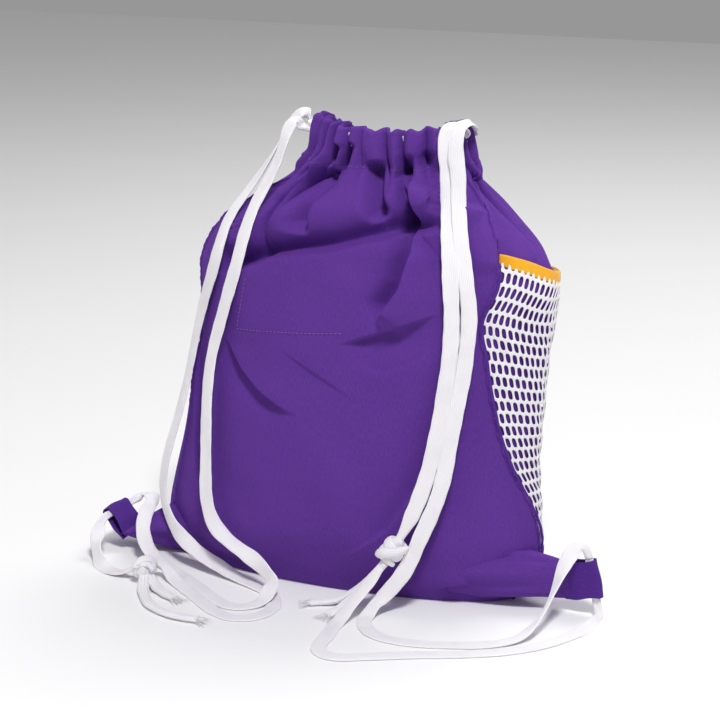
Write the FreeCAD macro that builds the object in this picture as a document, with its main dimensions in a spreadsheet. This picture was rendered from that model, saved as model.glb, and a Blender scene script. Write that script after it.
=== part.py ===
# Drawstring backpack, standing upright and filled, in millimetres, +Z up.
# The origin lies on the surface it stands on, near the middle of its base.
# X runs along the back panel, and the straps hang down on the -Y side.
import FreeCAD, Part

import math
import os

from FreeCAD import Placement, Rotation, Vector

doc = FreeCAD.newDocument("drawstring_backpack")

# ---------------------------------------------------------------- driving dimensions
sheet = doc.addObject("Spreadsheet::Sheet", "Sizes")

DIMENSIONS = [
    ("fabric", 2.0),               # folded and rippled fabric, as one wall
    ("seam_y", -15.0),             # where the side seams run, up to the shoulders
    ("neck_y", 28.0),              # middle of the gathered neck
    ("neck_x", 36.0),
    ("seam_turn_level", 275.0),    # where the side seams turn in towards the neck
    ("channel_height", 28.0),
    ("channel_thickness", 11.0),
    ("channel_wall", 1.8),
    ("channel_radius", 162.6),     # plan radius of each curved channel
    ("channel_half_length", 66.0),
    ("channel_bow", 20.0),         # from neck_y out to the middle of each curved channel
    ("cord_radius", 3.0),          # round section as large as the flat 14 x 2 cord
    ("upper_cord_level", 371.0),
    ("lower_cord_level", 363.4),
    ("tab_cord_half", 16.5),       # half the stretch of cord that lies in a corner loop
    ("tab_width", 31.0),           # width of the folded corner strip
    ("tab_wall", 2.0),
    ("tab_round", 6.0),            # outer radius of the loop's two round ends
    ("tab_reach", 21.5),           # between the centres of those ends
    ("tab_clearance", 0.3),        # between a loop and the corner it is sewn to
    ("left_tab_x", -183.0),
    ("left_tab_y", -28.0),
    ("left_tab_level", 13.0),
    ("left_tab_tilt", 128.0),      # degrees from +X towards +Z
    ("right_tab_x", 208.0),
    ("right_tab_y", -15.0),
    ("right_tab_level", 26.0),
    ("right_tab_tilt", 12.0),
    ("mesh_wall", 1.6),
    ("pocket_foot", 38.0),
    ("pocket_mouth", 262.0),
    ("pocket_edge_x", 72.0),       # where the mesh is sewn down on the front panel
    ("binding_width", 10.0),
    ("seam_allowance", 8.0),
    ("inner_pocket_left", -78.0),
    ("inner_pocket_width", 104.0),
    ("inner_pocket_foot", 189.0),
    ("inner_pocket_height", 62.0),
    ("thread", 0.8),
]

# The filled bag's outline: level, middle in x and y, half width, half depth, and how far
# the mesh pocket stands off it in width and in depth (0 where the pocket doesn't reach).
OUTLINE = [
    ("base", 0.0, 8.0, -2.0, 152.0, 46.0, 0.0, 0.0),
    ("heel", 12.0, 6.0, -1.0, 165.0, 57.0, 2.0, 2.0),
    ("low", 45.0, 11.0, 1.0, 167.0, 64.0, 3.0, 5.0),
    ("middle", 110.0, 15.0, 7.0, 156.0, 66.0, 4.0, 8.0),
    ("waist", 190.0, 24.0, 12.0, 150.0, 65.0, 4.0, 10.0),
    ("chest", 255.0, 28.0, 16.0, 159.0, 63.0, 4.0, 13.0),
    ("shoulder", 285.0, 25.0, 18.0, 149.0, 55.0, 4.0, 14.0),
    ("slope", 306.0, 29.0, 21.0, 124.0, 45.0, 0.0, 0.0),
    ("collar", 322.0, 33.0, 23.0, 100.0, 36.0, 0.0, 0.0),
    ("throat", 340.0, 36.0, 26.0, 77.0, 28.0, 0.0, 0.0),
    ("neck", 350.0, 36.0, 28.0, 67.0, 26.0, 0.0, 0.0),   # foot of the drawstring channels
]
OUTLINE_COLUMNS = ("level", "mid_x", "mid_y", "half_width", "half_depth", "gap_x", "gap_y")

row = 0
for alias, value in DIMENSIONS:
    row += 1
    sheet.set("A%d" % row, alias)
    sheet.set("B%d" % row, str(value))
    sheet.setAlias("B%d" % row, alias)
for station in OUTLINE:
    for column, value in zip(OUTLINE_COLUMNS, station[1:]):
        row += 1
        alias = station[0] + "_" + column
        sheet.set("A%d" % row, alias)
        sheet.set("B%d" % row, str(value))
        sheet.setAlias("B%d" % row, alias)
doc.recompute()


def size(alias):
    return float(sheet.get(alias))


# ---------------------------------------------------------------- small builders
def box(name, low, lengths):
    """A box whose low corner and lengths are expressions or plain numbers."""
    solid = doc.addObject("Part::Box", name)
    for axis, value in zip("xyz", low):
        solid.setExpression("Placement.Base." + axis, str(value))
    for side, value in zip(("Length", "Width", "Height"), lengths):
        solid.setExpression(side, str(value))
    return solid


def combine(kind, name, first, second):
    """A Part boolean: Cut or Common of two objects."""
    result = doc.addObject("Part::" + kind, name)
    result.Base = first
    result.Tool = second
    return result


def fuse(name, solids):
    result = doc.addObject("Part::MultiFuse", name)
    result.Shapes = solids
    return result


def outline_loft(name, stations, grow_x, grow_y, first_level=None, last_level=None):
    """A solid lofted through the bag's outline, grown by the given expressions."""
    rings = []
    for station in stations:
        ring = doc.addObject("Part::Ellipse", name + "_" + station)
        ring.setExpression("MajorRadius", "Sizes.%s_half_width + %s" % (station, grow_x(station)))
        ring.setExpression("MinorRadius", "Sizes.%s_half_depth + %s" % (station, grow_y(station)))
        ring.setExpression("Placement.Base.x", "Sizes.%s_mid_x" % station)
        ring.setExpression("Placement.Base.y", "Sizes.%s_mid_y" % station)
        level = "Sizes.%s_level" % station
        if station == stations[0] and first_level is not None:
            level = first_level
        if station == stations[-1] and last_level is not None:
            level = last_level
        ring.setExpression("Placement.Base.z", level)
        rings.append(ring)
    loft = doc.addObject("Part::Loft", name)
    loft.Sections = rings
    loft.Solid = True
    loft.Ruled = False
    return loft


def even(expression):
    return lambda station: expression


# ---------------------------------------------------------------- bag body
ALL_STATIONS = [station[0] for station in OUTLINE]
POCKET_STATIONS = ALL_STATIONS[1:7]

bag_outside = outline_loft("bag_outside", ALL_STATIONS, even("0"), even("0"))
bag_inside = outline_loft("bag_inside", ALL_STATIONS, even("-Sizes.fabric"),
                          even("-Sizes.fabric"), first_level="Sizes.fabric",
                          last_level="Sizes.neck_level + 0.01")


def back_region():
    """Everything on the strap side of the side seams, as a padded sketch."""
    body = doc.addObject("PartDesign::Body", "back_region")
    plane = [f for f in body.Origin.OriginFeatures if f.Role == "YZ_Plane"][0]
    sketch = body.newObject("Sketcher::SketchObject", "back_region_outline")
    sketch.AttachmentSupport = (plane, "")
    sketch.MapMode = "FlatFace"
    seam_y = size("seam_y")
    neck_y = size("neck_y")
    corners = [
        (seam_y, -10.0),
        (seam_y, size("seam_turn_level")),
        (neck_y, size("neck_level")),
        (neck_y, 420.0),
        (-260.0, 420.0),
        (-260.0, -10.0),
    ]
    for number, corner in enumerate(corners):
        start = Vector(corner[0], corner[1], 0)
        following = corners[(number + 1) % len(corners)]
        sketch.addGeometry(Part.LineSegment(start, Vector(following[0], following[1], 0)))
    pad = body.newObject("PartDesign::Pad", "back_region_pad")
    pad.Profile = sketch
    pad.Midplane = True
    pad.Length = 600.0
    return body


def corner_ear(name, end_half_y, end_z, root_half_y, root_z, reach, placement):
    """The pinched bottom corner of the flat bag, out to where the loop is sewn on."""
    wedge = doc.addObject("Part::Wedge", name)
    wedge.Ymin = -reach
    wedge.setExpression("Ymax", "-(Sizes.tab_round + Sizes.tab_clearance)")
    wedge.Xmin, wedge.Xmax = -root_half_y, root_half_y
    wedge.Zmin, wedge.Zmax = root_z
    wedge.X2min, wedge.X2max = -end_half_y, end_half_y
    wedge.Z2min, wedge.Z2max = end_z
    wedge.Placement = placement
    return wedge


# The wedge tapers along its own Y, which is turned here to point away from the bag.
left_root = Vector(size("left_tab_x"), size("left_tab_y"), size("left_tab_level"))
right_root = Vector(size("right_tab_x"), size("right_tab_y"), size("right_tab_level"))
towards_left = Rotation(Vector(0, 0, 1), 90)
towards_right = Rotation(Vector(0, 1, 0), -size("right_tab_tilt")) * Rotation(Vector(0, 0, 1), -90)
left_ear = corner_ear("left_ear", 15.5, (-11.0, 4.0), 22.0, (-12.5, 14.0), 38.0,
                      Placement(left_root, towards_left))
right_ear = corner_ear("right_ear", 4.0, (-21.5, 13.0), 24.0, (-12.5, 22.0), 52.0,
                       Placement(right_root, towards_right))
bag_solid = fuse("bag_solid", [bag_outside, left_ear, right_ear])
bag_shell = combine("Cut", "bag_shell", bag_solid, bag_inside)
region = back_region()
back_panel = combine("Common", "back_panel", bag_shell, region)
front_panel = combine("Cut", "front_panel", bag_shell, region)

# Serged allowances stand in from the side seams, inside the bag.
bag_core = outline_loft("bag_core", ALL_STATIONS, even("-Sizes.fabric - Sizes.seam_allowance"),
                        even("-Sizes.fabric - Sizes.seam_allowance"),
                        first_level="Sizes.fabric + Sizes.seam_allowance",
                        last_level="Sizes.neck_level + 0.02")
allowance_ring = combine("Cut", "allowance_ring", bag_inside, bag_core)
seams = []
for side, low_x in (("left", "-230"), ("right", "60")):
    slab = box("seam_slab_" + side, (low_x, "Sizes.seam_y - 1.2", "30"), ("170", "2.4", "230"))
    seams.append(combine("Common", "side_seam_" + side, allowance_ring, slab))

# The flat pouch sewn inside the back panel.
pouch_core = outline_loft("pouch_core", ALL_STATIONS, even("-Sizes.fabric - 1.6"),
                          even("-Sizes.fabric - 1.6"), first_level="Sizes.fabric + 1.6",
                          last_level="Sizes.neck_level + 0.02")
pouch_ring = combine("Cut", "pouch_ring", bag_inside, pouch_core)
pouch_slab = box("pouch_slab", ("Sizes.inner_pocket_left", "-90", "Sizes.inner_pocket_foot"),
                 ("Sizes.inner_pocket_width", "90 + Sizes.seam_y", "Sizes.inner_pocket_height"))
inner_pocket = combine("Common", "inner_pocket", pouch_ring, pouch_slab)

# ---------------------------------------------------------------- mesh side pocket
mesh_outside = outline_loft(
    "mesh_outside", POCKET_STATIONS,
    lambda station: "Sizes.%s_gap_x + Sizes.mesh_wall" % station,
    lambda station: "Sizes.%s_gap_y + Sizes.mesh_wall" % station)
mesh_inside = outline_loft(
    "mesh_inside", POCKET_STATIONS,
    lambda station: "Sizes.%s_gap_x" % station,
    lambda station: "Sizes.%s_gap_y" % station,
    first_level="Sizes.heel_level - 0.1", last_level="Sizes.shoulder_level + 0.1")
mesh_skin = combine("Cut", "mesh_skin", mesh_outside, mesh_inside)
mesh_gap = combine("Cut", "mesh_gap", mesh_inside, bag_outside)
pocket_low = ("Sizes.pocket_edge_x", "Sizes.seam_y", "Sizes.pocket_foot")
pocket_tall = "Sizes.pocket_mouth - Sizes.binding_width - Sizes.pocket_foot"
pocket_region = box("pocket_region", pocket_low, ("200", "200", pocket_tall))
mesh_pocket = combine("Common", "mesh_pocket", mesh_skin, pocket_region)
binding_region = box(
    "binding_region",
    ("Sizes.pocket_edge_x", "Sizes.seam_y", "Sizes.pocket_mouth - Sizes.binding_width"),
    ("200", "200", "Sizes.binding_width"))
pocket_binding = combine("Common", "pocket_binding", mesh_skin, binding_region)
# Where the mesh is sewn down, along the foot and both edges, a hem fills in to the bag.
hems = []
hem_low = ("Sizes.pocket_edge_x", "Sizes.seam_y", "Sizes.pocket_foot + 2.2")
hem_tall = "Sizes.pocket_mouth - Sizes.binding_width - Sizes.pocket_foot - 2.2"
for edge, low, lengths in (("foot", pocket_low, ("200", "200", "2")),
                           ("far", hem_low, ("2", "200", hem_tall)),
                           ("seam", hem_low, ("200", "2", hem_tall))):
    strip = box("pocket_hem_strip_" + edge, low, lengths)
    hems.append(combine("Common", "pocket_hem_" + edge, mesh_gap, strip))

# ---------------------------------------------------------------- drawstring channels
def ring(name, side, outer, inner, low, tall):
    """A standing ring about the axis that one channel curves round."""
    centre = "Sizes.neck_y + %s * (Sizes.channel_radius - Sizes.channel_bow)" % side
    walls = []
    for part, radius in (("rim", outer), ("bore", inner)):
        tube = doc.addObject("Part::Cylinder", name + "_" + part)
        tube.setExpression("Radius", radius)
        tube.setExpression("Height", tall)
        tube.setExpression("Placement.Base.x", "Sizes.neck_x")
        tube.setExpression("Placement.Base.y", centre)
        tube.setExpression("Placement.Base.z", low)
        walls.append(tube)
    return combine("Cut", name + "_ring", walls[0], walls[1])


def casing(name, side):
    """One channel: a curved box section, open at both ends, that the cords run in."""
    half = "Sizes.channel_thickness / 2"
    skin = ring(name + "_skin", side, "Sizes.channel_radius + " + half,
                "Sizes.channel_radius - " + half, "Sizes.neck_level", "Sizes.channel_height")
    hollow = ring(name + "_hollow", side,
                  "Sizes.channel_radius + %s - Sizes.channel_wall" % half,
                  "Sizes.channel_radius - %s + Sizes.channel_wall" % half,
                  "Sizes.neck_level + Sizes.channel_wall",
                  "Sizes.channel_height - 2 * Sizes.channel_wall")
    wall = combine("Cut", name + "_wall", skin, hollow)
    low_y = "Sizes.neck_y - 40" if side == "1" else "Sizes.neck_y"
    span = box(name + "_span", ("Sizes.neck_x - Sizes.channel_half_length", low_y,
                                "Sizes.neck_level - 1"),
               ("2 * Sizes.channel_half_length", "40", "Sizes.channel_height + 2"))
    return combine("Common", name, wall, span)


back_casing = casing("back_casing", "1")
front_casing = casing("front_casing", "-1")


# ---------------------------------------------------------------- stitching
def channel_thread(name, side):
    """The row of stitches that closes a channel, as one fine line on its outer face."""
    outer = "Sizes.channel_radius + Sizes.channel_thickness / 2"
    line = ring(name + "_line", side, outer + " + 0.5", outer,
                "Sizes.neck_level + 3", "Sizes.thread")
    low_y = "Sizes.neck_y - 40" if side == "1" else "Sizes.neck_y"
    span = box(name + "_span", ("Sizes.neck_x - Sizes.channel_half_length + 4", low_y,
                                "Sizes.neck_level"),
               ("2 * Sizes.channel_half_length - 8", "40", "10"))
    return combine("Common", name, line, span)


back_thread = channel_thread("back_channel_stitching", "1")
front_thread = channel_thread("front_channel_stitching", "-1")
thread_skin = outline_loft("thread_skin", ALL_STATIONS, even("0.5"), even("0.5"))
thread_ring = combine("Cut", "thread_ring", thread_skin, bag_outside)
thread_slab = box("thread_slab", ("Sizes.inner_pocket_left", "-90", "Sizes.inner_pocket_foot"),
                  ("Sizes.inner_pocket_width", "70", "Sizes.thread"))
pouch_thread = combine("Common", "inner_pocket_stitching", thread_ring, thread_slab)


# ---------------------------------------------------------------- corner loops
def tab_loop(name):
    """A strip folded into a flattened loop: its root end is round about the seam."""
    body = doc.addObject("PartDesign::Body", name)
    plane = [f for f in body.Origin.OriginFeatures if f.Role == "XY_Plane"][0]
    sketch = body.newObject("Sketcher::SketchObject", name + "_outline")
    sketch.AttachmentSupport = (plane, "")
    sketch.MapMode = "FlatFace"
    reach = size("tab_reach")
    for radius in (size("tab_round"), size("tab_round") - size("tab_wall")):
        root_arc = Part.Circle(Vector(0, 0, 0), Vector(0, 0, 1), radius)
        tip_arc = Part.Circle(Vector(reach, 0, 0), Vector(0, 0, 1), radius)
        sketch.addGeometry(Part.ArcOfCircle(root_arc, math.pi / 2, 1.5 * math.pi))
        sketch.addGeometry(Part.ArcOfCircle(tip_arc, -math.pi / 2, math.pi / 2))
        for edge in (radius, -radius):
            sketch.addGeometry(Part.LineSegment(Vector(0, edge, 0), Vector(reach, edge, 0)))
    pad = body.newObject("PartDesign::Pad", name + "_pad")
    pad.Profile = sketch
    pad.Midplane = True
    pad.setExpression("Length", "Sizes.tab_width")
    return body


tab_left = tab_loop("tab_left")
tab_right = tab_loop("tab_right")
doc.recompute()
# Both loops are drawn reaching along +X with the tunnel along Z.
left_turn = Rotation(Vector(0, 1, 0), -size("left_tab_tilt")) * Rotation(Vector(1, 0, 0), 90)
right_turn = Rotation(Vector(0, 1, 0), -size("right_tab_tilt"))
tab_left.Placement = Placement(left_root, left_turn)
tab_right.Placement = Placement(right_root, right_turn)


def tunnel_point(root, turn, along):
    """A point of the loop's tunnel at its outer end, where the cord pulls."""
    return root + turn.multVec(Vector(size("tab_reach"), 0, along))


# ---------------------------------------------------------------- drawcords
def rounded_route(name, points):
    """Straight runs joined by tangent arcs, each as large as its two runs allow."""
    corners = [Vector(*point) for point in points]
    edges = []
    radii = []
    here = corners[0]
    for before, corner, after in zip(corners, corners[1:], corners[2:]):
        back = before - corner
        ahead = after - corner
        shorter = min(back.Length, ahead.Length)
        half_turn = (math.pi - back.getAngle(ahead)) / 2
        cut_back = 0.45 * shorter
        radii.append(cut_back / math.tan(half_turn))
        back.normalize()
        ahead.normalize()
        start = corner + back * cut_back
        finish = corner + ahead * cut_back
        bisector = back + ahead
        bisector.normalize()
        to_centre = radii[-1] / math.cos(half_turn)
        middle = corner + bisector * (to_centre - radii[-1])
        edges.append(Part.LineSegment(here, start).toShape())
        edges.append(Part.Arc(start, middle, finish).toShape())
        here = finish
    edges.append(Part.LineSegment(here, corners[-1]).toShape())
    wire = Part.Wire(edges)
    print("%-28s length %6.0f  smallest radius %5.1f" % (name, wire.Length, min(radii)))
    return wire


def cord_tube(name, points):
    """A stretch of drawcord: a round tube swept along its rounded route."""
    path = doc.addObject("Part::Feature", name + "_path")
    path.Shape = rounded_route(name, points)
    start = Vector(*points[0])
    heading = Vector(*points[1]) - start
    section = doc.addObject("Part::Circle", name + "_section")
    section.setExpression("Radius", "Sizes.cord_radius")
    section.Placement = Placement(start, Rotation(Vector(0, 0, 1), heading))
    sweep = doc.addObject("Part::Sweep", name)
    sweep.Sections = [section]
    sweep.Spine = (path, ["Edge%d" % (n + 1) for n in range(len(path.Shape.Edges))])
    sweep.Solid = True
    sweep.Frenet = False
    return sweep, path


def knot(name, centre, radii, turn):
    """An overhand knot, as the rounded lump that it fills."""
    lump = doc.addObject("Part::Ellipsoid", name)
    lump.Radius1, lump.Radius2, lump.Radius3 = radii
    lump.Placement = Placement(Vector(*centre), turn)
    return lump


cord_end = size("tab_cord_half")
left_tunnel = left_turn.multVec(Vector(0, 0, 1))
right_tunnel = right_turn.multVec(Vector(0, 0, 1))
left_tab_back = tunnel_point(left_root, left_turn, -cord_end)
left_tab_near = tunnel_point(left_root, left_turn, cord_end)
right_tab_top = tunnel_point(right_root, right_turn, cord_end)
right_tab_foot = tunnel_point(right_root, right_turn, -cord_end)
upper = size("upper_cord_level")
lower = size("lower_cord_level")

ROUTES = {
    # Round the far end of the neck and back: both ends leave on the cord's own side.
    "drawcord_left_in_casing": [
        (-30, 34.0, lower), (-8, 42.0, lower), (20, 47.3, lower), (52, 47.3, lower),
        (80, 42.0, lower), (100, 35.5, lower), (109, 32.5, lower), (109, 23.5, lower),
        (100, 20.5, lower), (80, 14.0, lower), (52, 8.7, lower), (20, 8.7, lower),
        (-8, 14.0, lower), (-30, 22.0, lower)],
    "drawcord_right_in_casing": [
        (102, 22.0, upper), (80, 14.0, upper), (52, 8.7, upper), (20, 8.7, upper),
        (-8, 14.0, upper), (-28, 20.5, upper), (-37, 23.5, upper), (-37, 32.5, upper),
        (-28, 35.5, upper), (-8, 42.0, upper), (20, 47.3, upper), (52, 47.3, upper),
        (80, 42.0, upper), (102, 34.0, upper)],
    # Left strap: over the shoulder, down the left edge, round on the floor to the knot.
    "strand_left_to_knot": [
        (-30, 34, lower), (-35, 32.5, 366), (-38.5, 31, 373), (-44, 29, 378),
        (-53, 26.5, 370), (-60, 22, 355), (-69, 13, 336), (-79, 1, 316), (-90, -17, 294),
        (-92, -31, 271),
        (-98, -31, 250), (-109, -25, 226), (-118, -22, 198), (-125, -22, 166),
        (-132, -25, 134), (-141, -29, 102), (-148, -32, 73), (-146, -36, 49),
        (-132, -46, 30), (-109, -55, 17), (-80, -62, 8), (-50, -70, 4), (-24, -81, 3.2),
        (-9, -98, 3.2), (-3, -118, 3.2), (-9, -136, 3.2), (-26, -145, 3.2),
        (-46, -136, 3.2), (-69, -118, 3.2), (-92, -101, 3.2), (-108, -90, 5),
        (-120, -85, 11), (-127, -91, 16), (-128, -97, 14)],
    "strand_left_to_tab": [
        (-30, 22, lower), (-35.5, 23, 364), (-42, 21, 366.5), (-46.5, 17.5, 372),
        (-50, 13, 365), (-52, 8, 353), (-54, 2, 340), (-59, -7, 324), (-65, -19, 306),
        (-68, -31, 286), (-71, -40, 260),
        (-79, -40, 236), (-87, -39, 211), (-95, -40, 184), (-97, -45, 154),
        (-95, -52, 120), (-93, -57, 90), (-92, -60, 65), (-83, -65, 45), (-66, -68, 33),
        (-46, -71, 25), (-31, -75, 18), (-21, -81, 12.5), (-16, -91, 10.1), (-16, -105, 4.4),
        (-25, -120, 3.2), (-43, -123, 3.2), (-65, -107, 3.2), (-88, -90, 3.2),
        (-111, -75, 3.2), (-132, -64, 4), (-148, -60, 10), (-158, -53, 25),
        (-165, -33, 35), (-171, -11, 36), (-179, 2, 37), (-189, 5, 35),
        tuple(left_tab_back - left_tunnel * 9), tuple(left_tab_back)],
    "strand_left_tab_to_knot": [
        tuple(left_tab_near), tuple(left_tab_near + left_tunnel * 9), (-194, -66, 20),
        (-188, -79, 11), (-178, -89, 4), (-164, -95, 3.2), (-150, -99, 5),
        (-141, -101, 8), (-134, -101, 10)],
    "cord_in_left_tab": [tuple(left_tab_back), tuple(left_tab_near)],
    "tail_left_long": [
        (-125, -106, 8), (-120, -117, 4.5), (-110, -134, 3.2), (-93, -152, 3.2),
        (-69, -163, 3.2), (-45, -161, 3.2)],
    "tail_left_short": [
        (-122, -103, 7), (-113, -112, 4), (-99, -123, 3.2), (-84, -129, 3.2)],
    # Right strap: doubled over the channel's end, down the panel, and out to the tab.
    "strand_right_to_knot": [
        (102, 22, upper), (106.5, 22.5, 374.5), (107, 17.5, 379.4), (99.8, 11, 380.9),
        (94.5, 5, 378.5), (94, 1.5, 370), (95, -0.5, 357), (97, -3, 343), (100.5, -11, 327),
        (105.5, -22, 310), (111, -34, 289), (116, -43, 266), (119, -46, 242),
        (120, -49, 217),
        (118, -52, 189), (114, -54, 159), (110, -58, 130), (104, -61, 104), (97, -65, 82),
        (90, -68, 66), (85, -70, 56)],
    "strand_right_to_tab": [
        (102, 34, upper), (107.5, 32.5, 372), (110, 27, 378), (112.5, 20, 384),
        (109, 13.5, 386.3), (104.3, 6, 382.1), (102.5, 2, 368), (104, -1, 354), (106.5, -5, 340), (111, -15, 318),
        (119, -29, 291), (127, -38, 265), (132, -41, 240), (131, -44, 211), (128, -48, 180),
        (123, -52, 150), (120, -55, 121), (116, -59, 98), (110, -63, 79), (103, -67, 61),
        (98, -70, 46), (92, -74, 32), (82, -79, 18), (73, -86, 8), (70, -98, 3.2),
        (76, -114, 3.2), (89, -127, 3.2), (109, -133, 3.2), (135, -128, 3.2),
        (162, -118, 3.2), (185, -104, 3.2), (199, -86, 5), (205, -66, 13),
        (208, -49, 26), (210, -36, 40), (213, -26, 51), (218, -17, 58),
        tuple(right_tab_top + right_tunnel * 8), tuple(right_tab_top)],
    "strand_right_knot_to_tab": [
        (79, -75, 44), (72, -83, 32), (64, -93, 18), (57, -106, 7), (55, -122, 3.2),
        (59, -142, 3.2), (60, -161, 3.2), (66, -176, 3.2), (82, -181, 3.2),
        (101, -170, 3.2), (122, -157, 3.2), (149, -143, 3.2), (178, -128, 3.2),
        (204, -108, 3.2), (222, -82, 3.2), (233, -55, 3.2), (239, -38, 3.2),
        (239, -25, 3.6), tuple(right_tab_foot - right_tunnel * 7), tuple(right_tab_foot)],
    "cord_in_right_tab": [tuple(right_tab_top), tuple(right_tab_foot)],
    "tail_right_long": [
        (77, -70, 42), (66, -72, 28), (54, -75, 15), (42, -79, 6), (30, -85, 3.2),
        (18, -91, 3.2)],
    "tail_right_short": [
        (79, -77, 41), (66, -78, 25), (55, -86, 12), (47, -97, 4), (43, -110, 3.2)],
}

tubes = []
for name, points in ROUTES.items():
    if len(points) > 2:
        tubes.append(cord_tube(name, points))
straights = []
for name in ("cord_in_left_tab", "cord_in_right_tab"):
    start, finish = [Vector(*point) for point in ROUTES[name]]
    rod = doc.addObject("Part::Cylinder", name)
    rod.setExpression("Radius", "Sizes.cord_radius")
    rod.Height = (finish - start).Length
    rod.Placement = Placement(start, Rotation(Vector(0, 0, 1), finish - start))
    straights.append(rod)

knot_left = knot("knot_left", (-128, -101, 10.2), (10.0, 13.0, 11.0),
                 Rotation(Vector(0, 0, 1), 20))
knot_right = knot("knot_right", (82, -72, 50), (15.0, 11.5, 10.5),
                  Rotation(Vector(0, 1, 0), 28))

doc.recompute()

# ---------------------------------------------------------------- checks and export
sub_parts = [back_panel, front_panel, back_casing, front_casing, inner_pocket,
             mesh_pocket, pocket_binding, back_thread, front_thread, pouch_thread,
             tab_left, tab_right, knot_left, knot_right]
sub_parts += seams + hems + straights + [tube for tube, path in tubes]

for thing in doc.Objects:
    if "Invalid" in thing.State or "Error" in thing.State:
        raise RuntimeError("%s failed: %s" % (thing.Name, thing.State))
for tube, path in tubes:
    expected = math.pi * size("cord_radius") ** 2 * path.Shape.Length
    if abs(tube.Shape.Volume / expected - 1) > 0.02:
        raise RuntimeError("%s: volume %g, not %g" % (tube.Name, tube.Shape.Volume, expected))
for part in sub_parts:
    part.Label = part.Name
    if part.Shape.isNull() or not part.Shape.isValid():
        raise RuntimeError("%s has no valid shape" % part.Name)

os.makedirs("parts", exist_ok=True)
for part in sub_parts:
    part.Shape.exportStep("parts/%s.step" % part.Label)
print("wrote %d parts" % len(sub_parts))
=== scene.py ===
import math
import random

import bpy
import numpy as np
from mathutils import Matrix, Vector


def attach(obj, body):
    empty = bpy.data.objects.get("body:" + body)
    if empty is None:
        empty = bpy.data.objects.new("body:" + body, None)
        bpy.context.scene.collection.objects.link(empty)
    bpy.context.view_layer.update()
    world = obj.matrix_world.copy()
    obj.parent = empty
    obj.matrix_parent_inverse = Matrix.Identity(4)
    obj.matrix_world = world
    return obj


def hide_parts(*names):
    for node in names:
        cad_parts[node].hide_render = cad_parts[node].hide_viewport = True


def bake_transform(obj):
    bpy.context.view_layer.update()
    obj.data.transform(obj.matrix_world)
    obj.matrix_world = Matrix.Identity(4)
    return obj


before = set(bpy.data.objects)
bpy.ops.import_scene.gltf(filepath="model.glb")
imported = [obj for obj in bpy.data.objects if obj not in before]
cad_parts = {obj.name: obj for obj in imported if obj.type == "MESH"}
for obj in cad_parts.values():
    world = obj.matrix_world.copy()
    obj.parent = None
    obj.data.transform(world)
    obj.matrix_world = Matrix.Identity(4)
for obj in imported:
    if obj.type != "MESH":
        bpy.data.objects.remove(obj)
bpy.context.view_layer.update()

# Lengths are in metres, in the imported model's frame: +Z up, straps on the -Y side.
CORD_WIDTH = 0.0125
CORD_THICKNESS = 0.0019
CLOTH_THICKNESS = 0.0006
NECK = 0.350                        # where the panels end and the gathered channel begins
CHANNEL_FOLD = 0.3735               # where the channel's cloth turns over inwards
MIDDLE_DEPTH = 0.028                # the neck's middle in y
MOUTH_HALF_DEPTH = 0.0255
UP = (0, 0, 1)


# ------------------------------------------------------------------ small helpers
def smooth(t):
    t = np.clip(t, 0.0, 1.0)
    return t * t * (3.0 - 2.0 * t)


def hump(value, low, high):
    """0 outside low..high, rising smoothly to 1 half way between."""
    t = np.clip((value - low) / (high - low), 0.0, 1.0)
    return np.sin(math.pi * t) ** 2


def mesh_object(name, verts, faces, uvs=None, materials=()):
    """A mesh object from vertex rows and faces; uvs is one (u, v) pair per vertex."""
    mesh = bpy.data.meshes.new(name)
    mesh.from_pydata([tuple(map(float, v)) for v in verts], [], [tuple(f) for f in faces])
    if uvs is not None:
        layer = mesh.uv_layers.new(name="UVMap")
        loops = np.zeros(len(mesh.loops), dtype=np.int32)
        mesh.loops.foreach_get("vertex_index", loops)
        layer.data.foreach_set("uv", np.asarray(uvs, np.float32)[loops].ravel())
    mesh.polygons.foreach_set("use_smooth", [True] * len(mesh.polygons))
    for item in materials:
        mesh.materials.append(item)
    mesh.validate()
    obj = bpy.data.objects.new(name, mesh)
    bpy.context.scene.collection.objects.link(obj)
    return obj


def grid_faces(rows, columns, closed=False):
    """Quads of a grid of vertices stored row by row; closed joins the last column to the first."""
    faces = []
    span = columns if closed else columns - 1
    for i in range(rows - 1):
        for j in range(span):
            k = (j + 1) % columns
            faces.append((i * columns + j, i * columns + k,
                          (i + 1) * columns + k, (i + 1) * columns + j))
    return faces


def apply_modifier(obj, kind, **settings):
    """Adds one modifier and bakes its result into the mesh."""
    modifier = obj.modifiers.new(kind, kind)
    for key, value in settings.items():
        setattr(modifier, key, value)
    graph = bpy.context.evaluated_depsgraph_get()
    baked = bpy.data.meshes.new_from_object(obj.evaluated_get(graph))
    obj.modifiers.clear()
    old = obj.data
    obj.data = baked
    bpy.data.meshes.remove(old)
    return obj


def spline_points(points, steps=10):
    """Points along the smooth NURBS line that has these control points."""
    curve = bpy.data.curves.new("route", "CURVE")
    curve.dimensions = "3D"
    curve.resolution_u = steps
    spline = curve.splines.new("NURBS")
    spline.points.add(len(points) - 1)
    for slot, point in zip(spline.points, points):
        slot.co = (*point, 1.0)
    spline.order_u = 3
    spline.use_endpoint_u = True
    spline.resolution_u = steps
    holder = bpy.data.objects.new("route", curve)
    bpy.context.scene.collection.objects.link(holder)
    graph = bpy.context.evaluated_depsgraph_get()
    line = bpy.data.meshes.new_from_object(holder.evaluated_get(graph))
    result = np.array([v.co for v in line.vertices], float)
    bpy.data.objects.remove(holder)
    bpy.data.curves.remove(curve)
    bpy.data.meshes.remove(line)
    return result


def along_route(route):
    """Distance travelled along a line of points, up to each of them."""
    steps = np.linalg.norm(np.diff(route, axis=0), axis=1)
    return np.concatenate([[0], np.cumsum(steps)])


def unit_tangents(points):
    tangent = np.gradient(points, axis=0)
    return tangent / np.linalg.norm(tangent, axis=1, keepdims=True)


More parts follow.
